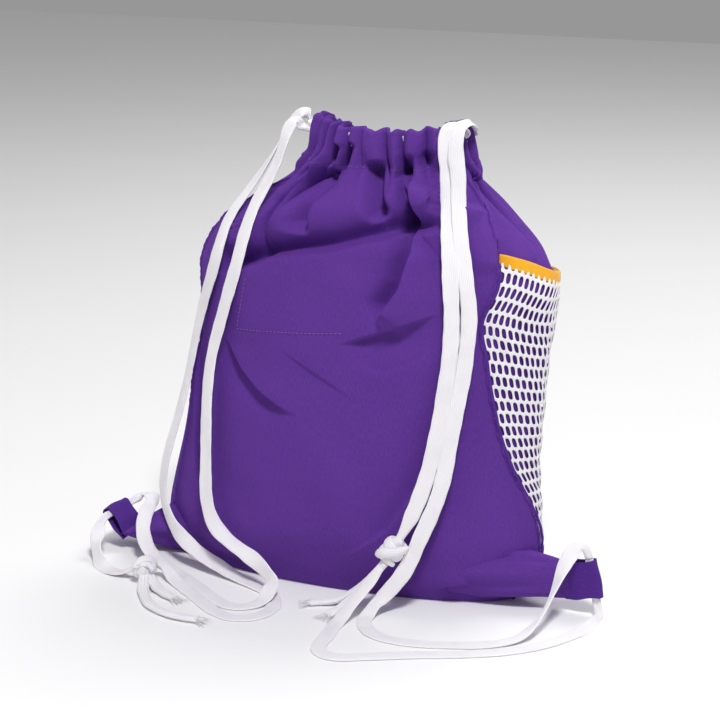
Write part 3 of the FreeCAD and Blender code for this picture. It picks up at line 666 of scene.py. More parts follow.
ROUTES = {
    # Round the far end of the neck and back: both ends leave on the cord's own side.
    "drawcord_left_in_casing": [
        (-.030, .0340, LOWER), (-.008, .0420, LOWER), (.020, .0473, LOWER), (.052, .0473, LOWER),
        (.078, .0410, LOWER), (.094, .0355, LOWER), (.101, .0325, LOWER), (.101, .0235, LOWER),
        (.094, .0205, LOWER), (.078, .0145, LOWER), (.052, .0087, LOWER), (.020, .0087, LOWER),
        (-.008, .0140, LOWER), (-.030, .0220, LOWER)],
    "drawcord_right_in_casing": [
        (.102, .0220, UPPER), (.080, .0140, UPPER), (.052, .0087, UPPER), (.020, .0087, UPPER),
        (-.008, .0140, UPPER), (-.028, .0205, UPPER), (-.037, .0235, UPPER),
        (-.037, .0325, UPPER), (-.028, .0355, UPPER), (-.008, .0420, UPPER),
        (.020, .0473, UPPER), (.052, .0473, UPPER), (.080, .0420, UPPER), (.102, .0340, UPPER)],
    # Left strap: over the shoulder, down the left edge, round on the floor to the knot.
    "strand_left_to_knot": [
        (-.030, .034, LOWER), (-.035, .0325, .366), (-.0385, .031, .373), (-.044, .029, .378),
        (-.053, .0265, .370), (-.060, .022, .355), (-.069, .013, .336), (-.079, .001, .316),
        (-.090, -.017, .294), (-.092, -.031, .271), (-.098, -.031, .250),
        (-.109, -.025, .226), (-.118, -.022, .198),
        (-.125, -.022, .166), (-.132, -.025, .134), (-.141, -.029, .102), (-.148, -.032, .073),
        (-.146, -.036, .049), (-.132, -.046, .030), (-.109, -.055, .017), (-.080, -.062, .008),
        (-.050, -.070, .004), (-.024, -.081, FLOOR), (-.009, -.098, FLOOR),
        (-.003, -.118, FLOOR), (-.009, -.136, FLOOR), (-.026, -.145, FLOOR),
        (-.046, -.136, FLOOR), (-.069, -.118, FLOOR), (-.092, -.101, FLOOR),
        (-.108, -.090, .005), (-.120, -.085, .011), (-.127, -.091, .016), (-.128, -.097, .014)],
    "strand_left_to_tab": [
        (-.030, .022, LOWER), (-.0355, .023, .364), (-.042, .021, .3665), (-.0465, .0175, .372),
        (-.050, .013, .365), (-.052, .008, .353), (-.054, .002, .340), (-.059, -.007, .324),
        (-.065, -.019, .306), (-.068, -.031, .286),
        (-.071, -.040, .260), (-.079, -.040, .236), (-.087, -.039, .211), (-.095, -.040, .184),
        (-.097, -.045, .154), (-.095, -.052, .120), (-.093, -.057, .090), (-.092, -.060, .065),
        (-.083, -.065, .045), (-.066, -.068, .033), (-.046, -.071, .025), (-.031, -.075, .018),
        (-.021, -.081, .0125), (-.016, -.091, .0101), (-.016, -.105, .0044),
        (-.025, -.120, FLOOR), (-.043, -.123, FLOOR), (-.065, -.107, FLOOR),
        (-.088, -.090, FLOOR), (-.111, -.075, FLOOR), (-.132, -.064, .004),
        (-.148, -.060, .010), (-.158, -.053, .025), (-.165, -.033, .035), (-.171, -.011, .036),
        (-.179, .002, .037), (-.189, .005, .035),
        tuple(LEFT_TIP - LEFT_ALONG * (TAB_HALF + .009)), LEFT_BACK],
    "strand_left_tab_to_knot": [
        LEFT_NEAR, tuple(LEFT_TIP + LEFT_ALONG * (TAB_HALF + .009)),
        (-.194, -.066, .020), (-.188, -.079, .011), (-.178, -.089, .004),
        (-.164, -.095, FLOOR), (-.150, -.099, .005), (-.141, -.101, .008),
        (-.134, -.101, .010)],
    "tail_left_long": [
        (-.125, -.106, .008), (-.120, -.117, .0045), (-.110, -.134, FLOOR),
        (-.093, -.152, FLOOR), (-.069, -.163, FLOOR), (-.045, -.161, FLOOR)],
    "tail_left_short": [
        (-.122, -.103, .007), (-.113, -.112, .004), (-.099, -.123, FLOOR),
        (-.084, -.129, FLOOR)],
    # Right strap: doubled over the channel's end, down the panel, and out to the tab.
    "strand_right_to_knot": [
        (.100, .022, UPPER), (.1035, .0215, .3725), (.103, .0165, .3765), (.098, .011, .3780),
        (.0930, .005, .3760), (.093, .0005, .368), (.094, -.0020, .357), (.097, -.003, .343),
        (.1005, -.011, .327), (.1055, -.022, .310), (.111, -.034, .289), (.116, -.043, .266),
        (.119, -.046, .242), (.120, -.049, .217), (.118, -.052, .189), (.114, -.054, .159),
        (.110, -.058, .130), (.104, -.061, .104), (.097, -.065, .082), (.090, -.068, .066),
        (.085, -.070, .056)],
    "strand_right_to_tab": [
        (.100, .034, UPPER), (.104, .0325, .371), (.1065, .027, .3745), (.1075, .020, .3780),
        (.1055, .0135, .3795), (.1020, .006, .3770), (.1015, .0005, .367), (.103, -.0025, .354),
        (.1065, -.005, .340), (.111, -.015, .318), (.119, -.029, .291), (.127, -.038, .265),
        (.132, -.041, .240), (.131, -.044, .211),
        (.128, -.048, .180), (.123, -.052, .150), (.120, -.055, .121), (.116, -.059, .098),
        (.110, -.063, .079), (.103, -.067, .061), (.098, -.070, .046), (.092, -.074, .032),
        (.082, -.079, .018), (.073, -.086, .008), (.070, -.098, FLOOR), (.076, -.114, FLOOR),
        (.089, -.127, FLOOR), (.109, -.133, FLOOR), (.135, -.128, FLOOR),
        (.162, -.118, FLOOR), (.185, -.104, FLOOR), (.199, -.086, .005),
        (.205, -.066, .013), (.208, -.049, .026), (.210, -.036, .040), (.213, -.026, .051),
        (.218, -.017, .058), tuple(RIGHT_TIP - RIGHT_ALONG * (TAB_HALF + .008)),
        RIGHT_TOP],
    "strand_right_knot_to_tab": [
        (.079, -.075, .044), (.072, -.083, .032), (.064, -.093, .018), (.057, -.106, .007),
        (.055, -.122, FLOOR), (.059, -.142, FLOOR), (.060, -.161, FLOOR),
        (.066, -.176, FLOOR), (.082, -.181, FLOOR), (.101, -.170, FLOOR),
        (.122, -.157, FLOOR), (.149, -.143, FLOOR), (.178, -.128, FLOOR),
        (.204, -.108, FLOOR), (.222, -.082, FLOOR), (.233, -.055, FLOOR),
        (.239, -.038, FLOOR), (.239, -.025, .0036),
        tuple(RIGHT_TIP + RIGHT_ALONG * (TAB_HALF + .007)),
        RIGHT_FOOT],
    "cord_in_left_tab": [LEFT_BACK, tuple(LEFT_TIP), LEFT_NEAR],
    "cord_in_right_tab": [RIGHT_TOP, tuple(RIGHT_TIP), RIGHT_FOOT],
    "tail_right_long": [
        (.077, -.070, .042), (.066, -.072, .028), (.054, -.075, .015), (.042, -.079, .006),
        (.030, -.085, FLOOR), (.018, -.091, FLOOR)],
    "tail_right_short": [
        (.079, -.077, .041), (.066, -.078, .025), (.055, -.086, .012), (.047, -.097, .004),
        (.043, -.110, FLOOR)],
}

# Where a cord twists or folds, the way it faces at some of its points.
LEFT_THROUGH = tuple(LEFT_OUT.cross(LEFT_ALONG))
RIGHT_THROUGH = (0, -1, 0)
EDGE_ON = (-.83, -.24, .50)
TURNS = {
    "strand_left_to_knot": {
        0: UP, 1: (-.5, -.2, .8), 2: (-.8, -.3, .4), 3: (-.2, -.7, .7), 4: (-.5, -.7, .5),
        19: (0, -.6, 1), 20: (0, -.5, 1), 30: (.3, -.4, .9), 31: (.2, -.2, 1)},
    "strand_left_to_tab": {
        0: UP, 1: (-.4, -.2, .8), 2: (-.6, -.5, .5), 3: (-.2, -.8, .6), 4: (-.2, -.9, .3),
        17: (-.1, -.9, .5), 18: (-.5, -.3, .9), 19: (-.5, -.2, .9), 20: (-.3, -.5, .9),
        31: (.4, -.3, 1), 32: (.2, -.7, .8), 33: (.3, -.3, .9), 34: (0, -.1, 1),
        35: (-.1, 0, 1), 36: (.2, .1, 1), 37: LEFT_THROUGH, 38: LEFT_THROUGH},
    "strand_left_tab_to_knot": {
        0: LEFT_THROUGH, 1: LEFT_THROUGH, 2: (.3, -.7, .6), 3: (-.7, -.7, .3),
        4: (-.2, -.5, .9)},
    "strand_right_to_knot": {
        0: (.8, .5, .2), 1: (.8, .5, .3), 2: (.6, .3, .7), 3: (0, -.2, 1), 4: (-.2, -.8, .7),
        5: (0, -1, .2), 9: (.7, -.7, .3), 10: (.5, -.9, .2)},
    "strand_right_to_tab": {
        0: (.2, 1, .1), 1: (.4, .9, .2), 2: (.7, .6, .4), 3: (.5, .4, .8), 4: (.1, 0, 1),
        5: (0, -.7, .7), 6: (0, -1, .2), 9: (.8, -.6, .3), 10: (.5, -.8, .3),
        31: (-.3, -.1, 1), 32: EDGE_ON, 33: EDGE_ON, 34: (-.4, -.8, .3), 35: (.2, -.8, .5),
        36: (.2, -.4, 1), 37: (.4, -.9, .4), 38: RIGHT_THROUGH},
    "strand_right_knot_to_tab": {
        0: (-.3, -.9, .3), 1: (-.3, -.8, .5), 2: (-.4, -.7, .7), 16: (.6, -.3, .8),
        17: (.9, -.5, .2), 18: (.4, -.9, 0), 19: RIGHT_THROUGH},
    "cord_in_left_tab": {0: LEFT_THROUGH, 1: LEFT_THROUGH, 2: LEFT_THROUGH},
    "cord_in_right_tab": {0: RIGHT_THROUGH, 1: RIGHT_THROUGH, 2: RIGHT_THROUGH},
}


def outward(point):
    """The level outward direction of the bag's side nearest a point."""
    mid_x, mid_y, half_width, half_depth = at_level(OUTLINE_EASED, point[2])
    return Vector(((point[0] - mid_x) / half_width ** 2,
                   (point[1] - mid_y) / half_depth ** 2, 0.0025)).normalized()


def facings(name):
    """The way each control point of a cord faces: off the bag, up on the floor, or as in TURNS."""
    result = []
    for index, point in enumerate(ROUTES[name]):
        default = outward(point) if point[2] > 0.012 else Vector(UP)
        result.append(TURNS.get(name, {}).get(index, default))
    return result


def settled(route, lift=CORD_THICKNESS / 2):
    """Lets the flat cord lie right on the floor where the round one in the design does."""
    result = route.copy()
    drop = (FLOOR - lift) * smooth((0.009 - route[:, 2]) / 0.005)
    result[:, 2] -= drop
    return result


def between_channel_walls(route):
    """Lets a cord follow the gathers of the channel that it runs in, but not beyond its ends."""
    x, y, level = route.T
    mid_x, mid_y, half_width, half_depth = at_level(OUTLINE_EASED, level)
    theta = np.arctan2((y - mid_y) / half_depth, (x - mid_x) / half_width)
    gathered, _ = bag_surface(theta, level, -0.0048)
    inside = smooth((x + 0.030) / 0.010) * smooth((0.094 - x) / 0.008)
    result = route + (gathered - route) * inside[:, None]
    sag = channel_sag(np.clip((y - MIDDLE_DEPTH) / MOUTH_HALF_DEPTH, -1, 1))
    result[:, 2] = level - 0.002 - sag
    return result


def ribbon(name, bunched_start=0.0, bunched_end=0.0, bunch=0.52, seed=0):
    """A flat cord along its route. bunched_start and bunched_end are the lengths over which it
    gathers to the share bunch of its width."""
    points = ROUTES[name]
    route = spline_points(points)
    lifted = spline_points([Vector(p) + Vector(f).normalized() * 0.01
                            for p, f in zip(points, facings(name))])
    facing = lifted - route
    route = settled(route)
    if name.endswith("casing"):
        route = between_channel_walls(route)
    side, facing = framed(route, facing)
    travelled = along_route(route)
    rest = travelled[-1] - travelled
    width = np.ones(len(route))
    if bunched_start:
        width = np.minimum(width, bunch + (1 - bunch) * smooth(travelled / bunched_start - .3))
    if bunched_end:
        width = np.minimum(width, bunch + (1 - bunch) * smooth(rest / bunched_end - .3))
    width *= 1.0 + 0.03 * np.sin(travelled * 150.0 + seed) + 0.02 * np.sin(
        travelled * 390.0 + 2 * seed)
    thick = 1.0 + 0.9 * np.clip(1 - width, 0, 1) / (1 - bunch)
    cup = 0.0007 * np.sin(travelled * 48.0 + seed) + 0.0003 * np.sin(travelled * 131.0 + seed)
    floor_share = smooth((0.006 - route[:, 2]) / 0.004)
    cup *= 1 - 0.7 * floor_share
    a, b = squared_off(turns_round(24), 0.4, 0.8)
    flat = 0.5 * CORD_WIDTH * a
    lift = cup[:, None] * (1 - a * a) + 0.5 * CORD_THICKNESS * thick[:, None] * b
    verts, uvs = swept(route, side, facing, width[:, None] * flat, lift, flat + 0.05)
    obj = mesh_object(name.replace("strand", "cord"), verts, capped_tube(*lift.shape), uvs,
                      [WHITE_CORD])
    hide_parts(name)
    return obj, route


KNOT_TURNS = 2.0


def knot_bands(name, centre, axis, up, radius, reach, width, replaced):
    """A tight knot: a flat cord wound round the strands, with one band laid back over it."""
    axis = Vector(axis).normalized()
    up = (Vector(up) - axis * Vector(up).dot(axis)).normalized()
    side = axis.cross(up)
    centre = Vector(centre)
    verts, faces, uvs = [], [], []

    def sweep(path, half_width, half_thickness):
        """path is rows of (point, facing)."""
        points, facing = (np.array(column) for column in zip(*path))
        side, facing = framed(points, facing)
        from_end = np.minimum(np.arange(len(points)), np.arange(len(points))[::-1])
        ends = np.minimum(1.0, 0.35 + 4 * from_end / len(points))
        a, b = squared_off(turns_round(16), 0.6, 0.8)
        a = ends[:, None] * a
        made, made_uvs = swept(points, side, facing, half_width * a,
                               half_thickness * b - 0.0016 * a * a, half_width * a + 0.05)
        faces.extend(capped_tube(*a.shape, len(verts)))
        verts.extend(made)
        uvs.extend(made_uvs)

    def wound(angle, swell, along_axis):
        """A point of the winding, and the way out from the knot's middle there."""
        direction = side * math.cos(angle) + up * math.sin(angle)
        shift = axis * (reach * along_axis)
        return np.array(centre + direction * radius * swell + shift), np.array(direction)

    coil = []
    for t in np.linspace(0, 1, 90):
        angle = 2 * math.pi * KNOT_TURNS * t + 0.5
        swell = 1.0 + 0.10 * math.sin(2 * angle + 0.6)
        coil.append(wound(angle, swell, (2 * t - 1) * 0.72))
    sweep(coil, width / 2, 0.0021)
    band = []
    for t in np.linspace(0, 1, 48):
        band.append(wound(math.pi * (0.05 + 0.95 * t), 1.0 + 0.42 * math.sin(math.pi * t),
                          1.0 - 2.0 * t))
    sweep(band, width * 0.40, 0.0022)
    core = []
    for t in np.linspace(-1.15, 1.15, 24):
        core.append((np.array(centre + axis * reach * t), np.array(up)))
    sweep(core, radius * 0.80, radius * 0.62)
    obj = mesh_object(name, verts, faces, uvs, [WHITE_CORD])
    obj.data.update()
    apply_modifier(obj, "SUBSURF", levels=1)
    return place(obj, "bag", "drawcord", replaced)


def tail(name, seed):
    """A loose end: the flat cord folded lengthwise, opening into loose threads at its tip."""
    source = random.Random(seed)
    route = settled(spline_points(ROUTES[name]), 0.0026)
    tangent = unit_tangents(route)
    travelled = along_route(route)
    side, up = framed(route, np.tile(UP, (len(route), 1)))
    half_width = 0.0046 + 0.0004 * np.sin(travelled / travelled[-1] * 19 + seed)
    half_height = 0.0025
    turn = turns_round(20)
    fold = 1.0 - 0.22 * np.exp(-((turn - math.pi * 0.5) / 0.28) ** 2)
    across = half_width[:, None] * np.cos(turn)
    lift = np.ones((len(route), 1)) * half_height * np.sin(turn) * fold
    verts, uvs = swept(route, side, up, across, lift, 0.0145 * turn / (2 * math.pi))
    obj = mesh_object(name.replace("tail", "cord_tail"), verts, capped_tube(*lift.shape), uvs,
                      [WHITE_CORD])
    place(obj, "bag", "drawcord", name)
    return obj, route, frayed_threads(obj.name + "_fray", route[-1], tangent[-1], source)


def frayed_threads(name, tip, way, source):
    """The unlaid threads of a cord's cut end, fanned out over the floor."""
    reach = 0.011
    side = np.cross(way, (0, 0, 1.0))
    verts, faces, uvs = [], [], []
    for strand in range(46):
        spread = source.uniform(-1, 1)
        high = source.uniform(-1, 1)
        start = tip + side * 0.0040 * spread - way * 0.001
        start[2] = max(start[2] + 0.0019 * high, 0.0006)
        heading = way + side * (0.55 * spread + source.uniform(-.25, .25))
        run = reach * source.uniform(0.45, 1.0)
        rows = 7
        first = len(verts)
        for k in range(rows):
            t = k / (rows - 1)
            point = start + heading * run * t
            level = start[2] * (1 - t) + 0.0006 * t + 0.0012 * source.uniform(-.4, .6)
            point[2] = max(level, 0.0005)
            point = point + side * 0.0012 * math.sin(3 * t + 6 * spread) * t
            size = 0.00032 * (1 - 0.5 * t)
            for corner_index in range(4):
                turn = 0.5 * math.pi * corner_index
                verts.append(point + side * size * math.cos(turn)
                             + np.array((0, 0, 1.0)) * size * math.sin(turn))
                uvs.append((0.01 * strand, run * t))
        for quad in grid_faces(rows, 4, closed=True):
            faces.append(tuple(first + q for q in quad))
    obj = mesh_object(name, verts, faces, uvs, [WHITE_CORD])
    return place(obj, "bag", "drawcord")


# ------------------------------------------------------------------ corners and tabs
def facing_along(direction, way):
    """The direction or its opposite, whichever points the given way."""
    return direction if direction.dot(Vector(way)) > 0 else -direction


def corner(name, start, start_across, start_through, root, out, across, through, seed):
    """A bottom corner of the bag, drawn out to the tab that is sewn in it."""
    rows, count = 46, 72
    start, root = Vector(start), Vector(root)
    end = root + Vector(out) * 0.002
    verts = []
    for i in range(rows):
        s = i / (rows - 1)
        centre = start.lerp(end, s)
        wide = Vector(start_across).lerp(Vector(across) * 0.0158, s)
        deep = Vector(start_through).lerp(Vector(through) * 0.0021, s ** 1.7)
        for j in range(count):
            turn = 2 * math.pi * j / count
            a, b = squared_off(turn, 0.8, 0.9)
            fold = 1 + 2.2 * s * (1 - s) * (0.06 * math.sin(3 * turn + seed + 2.2 * s)
                                            + 0.09 * math.sin(6 * turn + 2 * seed - 3 * s)
                                            + 0.05 * math.sin(11 * turn + seed))
            point = centre + wide * a * fold + deep * b * fold
            point.z = max(point.z, 0.0008)
            verts.append(point)
    grid = np.array(verts).reshape(rows, count, 3)
    obj = mesh_object(name, verts, grid_faces(rows, count, closed=True),
                      cloth_uvs(grid), [PURPLE])
    apply_modifier(obj, "SUBSURF", levels=1)
    return place(obj, "bag", "woven_panel")


def tab_loop(name, body, root, out, along, replaced):
    """A strip folded in half over the cord, its two ends sewn into the bag's corner."""
    through = out.cross(along).normalized()
    profile = []
    straight, bend = TAB_REACH + 0.0022, 0.0030
    for t in np.linspace(-0.12, 0.96, 18):
        profile.append((straight * t, 0.0011 + (bend - 0.0011) * smooth(2 * t)))
    for turn in np.linspace(75, -75, 15):
        angle = math.radians(turn)
        profile.append((straight + bend * math.cos(angle), bend * math.sin(angle)))
    for t in np.linspace(0.96, -0.12, 18):
        profile.append((straight * t, -0.0011 - (bend - 0.0011) * smooth(2 * t)))
    columns = 25
    verts, uvs = [], []
    run = 0.0
    previous = None
    for reach, lift in profile:
        if previous:
            run += math.hypot(reach - previous[0], lift - previous[1])
        previous = (reach, lift)
        for j in range(columns):
            w = 2 * j / (columns - 1) - 1
            flare = 0.0155 + 0.0006 * math.sin(reach * 260)
            edge = 0.0005 * abs(w) ** 6
            verts.append(root + out * (reach + 0.0006 * math.sin(3 * w + 1))
                         + through * (lift + math.copysign(edge, lift)) + along * flare * w)
            uvs.append((flare * w, run))
    obj = mesh_object(name, verts, grid_faces(len(profile), columns), uvs, [PURPLE_TRIM])
    apply_modifier(obj, "SOLIDIFY", thickness=0.0012, offset=-1.0)
    apply_modifier(obj, "BEVEL", width=0.0004, segments=2)
    return place(obj, body, "woven_trim", replaced)


# ------------------------------------------------------------------ thread
def stitches(name, points, outs, *replaced):
    """Short raised stitches along a line of points; outs is the way each point's stitch lifts."""
    size, stitch, gap = 0.00034, 0.0026, 0.0011
    points, outs = np.asarray(points, float), np.asarray(outs, float)
    travelled = along_route(points)
    verts, faces = [], []
    position = gap
    while position + stitch < travelled[-1]:
        first = len(verts)
        rows = []
        for share in (0.0, 0.2, 0.5, 0.8, 1.0):
            s = position + stitch * share
            here = np.array([np.interp(s, travelled, points[:, k]) for k in range(3)])
            out = unit(np.array([np.interp(s, travelled, outs[:, k]) for k in range(3)]))
            rows.append((here, out, math.sin(math.pi * (0.12 + 0.76 * share))))
        way = unit(rows[-1][0] - rows[0][0])
        for here, out, swell in rows:
            side = np.cross(way, out)
            for corner_index in range(6):
                turn = math.pi * corner_index / 3
                verts.append(here + out * size * (0.9 * swell - 0.35)
                             + (side * math.cos(turn) + out * math.sin(turn)) * size * swell)
        faces += capped_tube(5, 6, first)
        position += stitch + gap
    return place(mesh_object(name, verts, faces, None, [THREAD]), "bag", "thread", *replaced)


def surface_line(theta, level, outset):
    points, normal = bag_surface(np.asarray(theta, float), np.asarray(level, float), outset)
    outs = np.concatenate([normal, np.full((len(points), 1), 0.15)], axis=1)
    return points, outs


def angle_at(x, level):
    """The angle round the bag of a place on its strap side, by its x."""
    mid_x, _, half_width, _ = at_level(OUTLINE_EASED, level)
    return -np.arccos(np.clip((x - mid_x) / half_width, -1, 1))


def channel_stitching():
    seam_start = np.radians(at_level(SEAM_LEFT_EASED, NECK)[0])
    seam_end = np.radians(at_level(SEAM_RIGHT_EASED, NECK)[0])
    spans = (("back", seam_start, seam_end), ("front", seam_end, seam_start + 2 * math.pi))
    for side, start, finish in spans:
        theta = np.linspace(start, finish, 900)
        points, outs = surface_line(theta, np.full(900, 0.3475), 0.0002)
        stitches(side + "_channel_thread", points, outs, side + "_channel_stitching")


def pouch_stitching():
    """The inner pocket shows only as two lines of stitching through the panel."""
    x = np.linspace(-0.074, 0.028, 260)
    level = 0.206 + 0.010 * (x + 0.074) / 0.102
    points, outs = surface_line(angle_at(x, level), level, 0.0002)
    stitches("pouch_foot_thread", points, outs, "inner_pocket", "inner_pocket_stitching")
    level = np.linspace(0.207, 0.252, 140)
    x = -0.0735 + 0.012 * (level - 0.207) / 0.045
    points, outs = surface_line(angle_at(x, level), level, 0.0002)
    stitches("pouch_side_thread", points, outs)


def seam_ridge(name, table, replaced):
    """The bag's side seam: a narrow raised fold of cloth."""
    radius = 0.0011
    level = np.linspace(0.012, 0.349, 420)
    theta = np.radians(at_level(table, level)[0])
    points, outs = surface_line(theta, level, 0.0004)
    side, out = framed(points, outs)
    travelled = along_route(points)[:, None]
    swell = radius * (1 + 0.22 * np.sin(travelled * 420) + 0.15 * np.sin(travelled * 1130 + 1))
    turn = turns_round(10)
    verts, uvs = swept(points, side, out, swell * 1.5 * np.cos(turn), swell * np.sin(turn),
                       radius * turn)
    obj = mesh_object(name, verts, grid_faces(len(points), len(turn), closed=True), uvs, [PURPLE])
    return place(obj, "bag", "woven_panel", replaced)


# ------------------------------------------------------------------ mesh side pocket
POCKET_FOOT = 0.038
POCKET_LENGTH = 0.205              # from the side seam round to its far edge
CELL_WIDTH = 0.0051
CELL_HEIGHT = 0.0092               # from one row to the next
HOLE_WIDTH = CELL_WIDTH / 1.5
HOLE_HEIGHT = 0.79 * CELL_HEIGHT
POCKET_HEIGHT = 0.225


def mouth_level(share):
    """The pocket's mouth slopes down from the seam to its far edge."""
    return 0.282 - 0.014 * smooth(share / 0.30) - 0.014 * share


def pocket_point(distance, share_up, outset=0.0):
    """A point of the pocket's net: distance round from the seam, and share of its height."""
    share = distance / POCKET_LENGTH
    level = POCKET_FOOT + (mouth_level(share) - POCKET_FOOT) * share_up
    seam = np.radians(at_level(SEAM_RIGHT_EASED, level)[0])
    _, _, half_width, half_depth = at_level(OUTLINE_EASED, level)
    theta = seam
    for _ in range(3):
        middle = (seam + theta) / 2
        pace = np.hypot(half_width * np.sin(middle), half_depth * np.cos(middle))
        theta = seam + distance / pace
    hang = 0.0014 + 0.0016 * np.sin(math.pi * np.clip(share, 0, 1)) ** 0.7 \
        + 0.0045 * smooth((share - 0.35) / 0.3) * smooth((share_up - 0.3) / 0.7) \
        * smooth((1 - share) / 0.15)
    puckers = 0.0009 * np.sin(distance * 190 + 9 * share_up) * np.sin(
        23 * share_up + 40 * distance)
    points, normal = bag_surface(theta, level, hang + puckers + outset)
    return points, normal


def mesh_pocket():
    """A net of long six-sided cells, each with a slot-shaped hole."""
    columns = int(POCKET_LENGTH / CELL_WIDTH) + 1
    rows = int(POCKET_HEIGHT / CELL_HEIGHT)
    side_half, tip_half = 0.40 * CELL_HEIGHT, 0.60 * CELL_HEIGHT
    index_of, flat_points, faces = {}, [], []

    def vertex(u, v):
        u = min(max(u, 0.0), POCKET_LENGTH)
        v = min(max(v, 0.0), rows * CELL_HEIGHT)
        key = (round(u * 2e5), round(v * 2e5))
        if key not in index_of:
            index_of[key] = len(flat_points)
            flat_points.append((u, v))
        return index_of[key]

    for row in range(rows + 1):
        for column in range(-1, columns):
            centre_u = (column + 0.5 + 0.5 * (row % 2)) * CELL_WIDTH
            centre_v = (row + 0.5) * CELL_HEIGHT
            half = CELL_WIDTH / 2
            corners = [(half, -side_half), (half, side_half), (0, tip_half),
                       (-half, side_half), (-half, -side_half), (0, -tip_half)]
            ring = []
            for k in range(6):
                a, b = corners[k], corners[(k + 1) % 6]
                ring.append(a)
                ring.append(((a[0] + b[0]) / 2, (a[1] + b[1]) / 2))
            outer = [vertex(centre_u + u, centre_v + v) for u, v in ring]
            inner = []
            for u, v in ring:
                angle = math.atan2(v * half / tip_half, u)
                a, b = squared_off(angle, 0.7, 0.7)
                inner.append(vertex(centre_u + HOLE_WIDTH / 2 * a, centre_v + HOLE_HEIGHT / 2 * b))
            for k in range(12):
                quad = (outer[k], outer[(k + 1) % 12], inner[(k + 1) % 12], inner[k])
                corners_used = list(dict.fromkeys(quad))
                if len(corners_used) > 2:
                    faces.append(tuple(corners_used))
    flat = np.array(flat_points)
    share_up = np.clip(flat[:, 1] / (rows * CELL_HEIGHT), 0, 1)
    distance = np.clip(flat[:, 0], 0, POCKET_LENGTH)
    points, _ = pocket_point(distance, share_up)
    obj = mesh_object("mesh_pocket_net", points, faces, flat, [WHITE_NET])
    apply_modifier(obj, "SOLIDIFY", thickness=0.0010, offset=0.0)
    apply_modifier(obj, "SUBSURF", levels=1)
    place(obj, "bag", "mesh", "mesh_pocket")
    return obj


def tape(name, distances, shares, tall, thickness, material, slot_name, replaced):
    """A folded tape along a line of the pocket: a flat tube wrapped over the net's edge."""
    points, normal = pocket_point(distances, shares, 0.0004)
    tangent = unit_tangents(points)
    out = np.concatenate([normal, np.zeros((len(points), 1))], axis=1)
    up = np.cross(out, tangent)
    up[(up[:, 2] < 0) & (np.abs(tangent[:, 2]) < 0.7)] *= -1.0
    up /= np.linalg.norm(up, axis=1, keepdims=True)
    travelled = along_route(points)[:, None]
    wave = 0.00018 * np.sin(travelled * 600) + 0.00035 * np.sin(travelled * 95)
    a, b = squared_off(turns_round(28), 0.45, 0.8)
    groove = -0.00035 * np.exp(-((a + 0.62) / 0.07) ** 2) * (b > 0)
    lift = 0.5 * thickness * b + wave + groove
    half = 0.5 * tall * a
    verts, uvs = swept(points, up, out, half * np.ones_like(lift), lift, half)
    obj = mesh_object(name, verts, capped_tube(*lift.shape), uvs[:, ::-1], [material])
    return place(obj, "bag", slot_name, replaced)


def pocket_edges():
    count = 260
    round_the_bag = np.linspace(0, POCKET_LENGTH, count)
    up_the_net = np.linspace(0.0, 0.97, count)
    tape("pocket_binding_tape", round_the_bag, np.full(count, 0.985), 0.0100, 0.0026,
         YELLOW_TAPE, "binding", "pocket_binding")
    for name, distances, shares, tall, thickness, replaced in (
            ("pocket_foot_hem", round_the_bag, np.full(count, 0.006), 0.0060, 0.0020,
             "pocket_hem_foot"),
            ("pocket_far_hem", np.full(count, POCKET_LENGTH), up_the_net, 0.0060, 0.0020,
             "pocket_hem_far"),
            ("pocket_seam_hem", np.full(count, 0.0010), up_the_net, 0.0028, 0.0016,
             "pocket_hem_seam")):
        tape(name, distances, shares, tall, thickness, PURPLE_TRIM, "woven_trim", replaced)


# ------------------------------------------------------------------ putting it together
LYING_CORDS = [spline_points(ROUTES[name], 4)[6:] for name in (
    "strand_left_to_knot", "strand_left_to_tab", "strand_right_to_knot",
    "strand_right_to_tab")]
back_panel = build_panel("back_panel_cloth", SEAM_LEFT_EASED, SEAM_RIGHT_EASED,
                         ["back_panel", "back_casing"])
seam_left_full_turn_on = SEAM_LEFT_EASED.copy()
seam_left_full_turn_on[1] += 360.0
front_panel = build_panel("front_panel_cloth", SEAM_RIGHT_EASED, seam_left_full_turn_on,
                          ["front_panel", "front_casing"])
channel_stitching()
pouch_stitching()
seam_ridge("right_seam", SEAM_RIGHT_EASED, "side_seam_right")
seam_ridge("left_seam", SEAM_LEFT_EASED, "side_seam_left")
mesh_pocket()
pocket_edges()
corner("left_corner", (-0.116, -0.006, 0.026), (0, -0.030, 0), (0.0, 0, 0.026),
       LEFT_ROOT, LEFT_OUT, LEFT_ALONG, facing_along(LEFT_OUT.cross(LEFT_ALONG), UP), 1.0)
corner("right_corner", (0.116, -0.012, 0.025), (0, 0, -0.025), (0, -0.030, 0.0),
       RIGHT_ROOT, RIGHT_OUT, RIGHT_ALONG,
       facing_along(RIGHT_OUT.cross(RIGHT_ALONG), (0, -1, 0)), 2.4)
tab_loop("left_tab_loop", "loop_left", LEFT_ROOT, LEFT_OUT, LEFT_ALONG, "tab_left")
tab_loop("right_tab_loop", "loop_right", RIGHT_ROOT, RIGHT_OUT, RIGHT_ALONG, "tab_right")

for name, body, bunch in (("drawcord_left_in_casing", "bag", 0.34),
                          ("drawcord_right_in_casing", "bag", 0.34),
                          ("cord_in_left_tab", "loop_left", 0.52),
                          ("cord_in_right_tab", "loop_right", 0.52)):
    bunched_all_along = 9.0
    made, route = ribbon(name, bunched_all_along, bunched_all_along, bunch)
    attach(made, body)

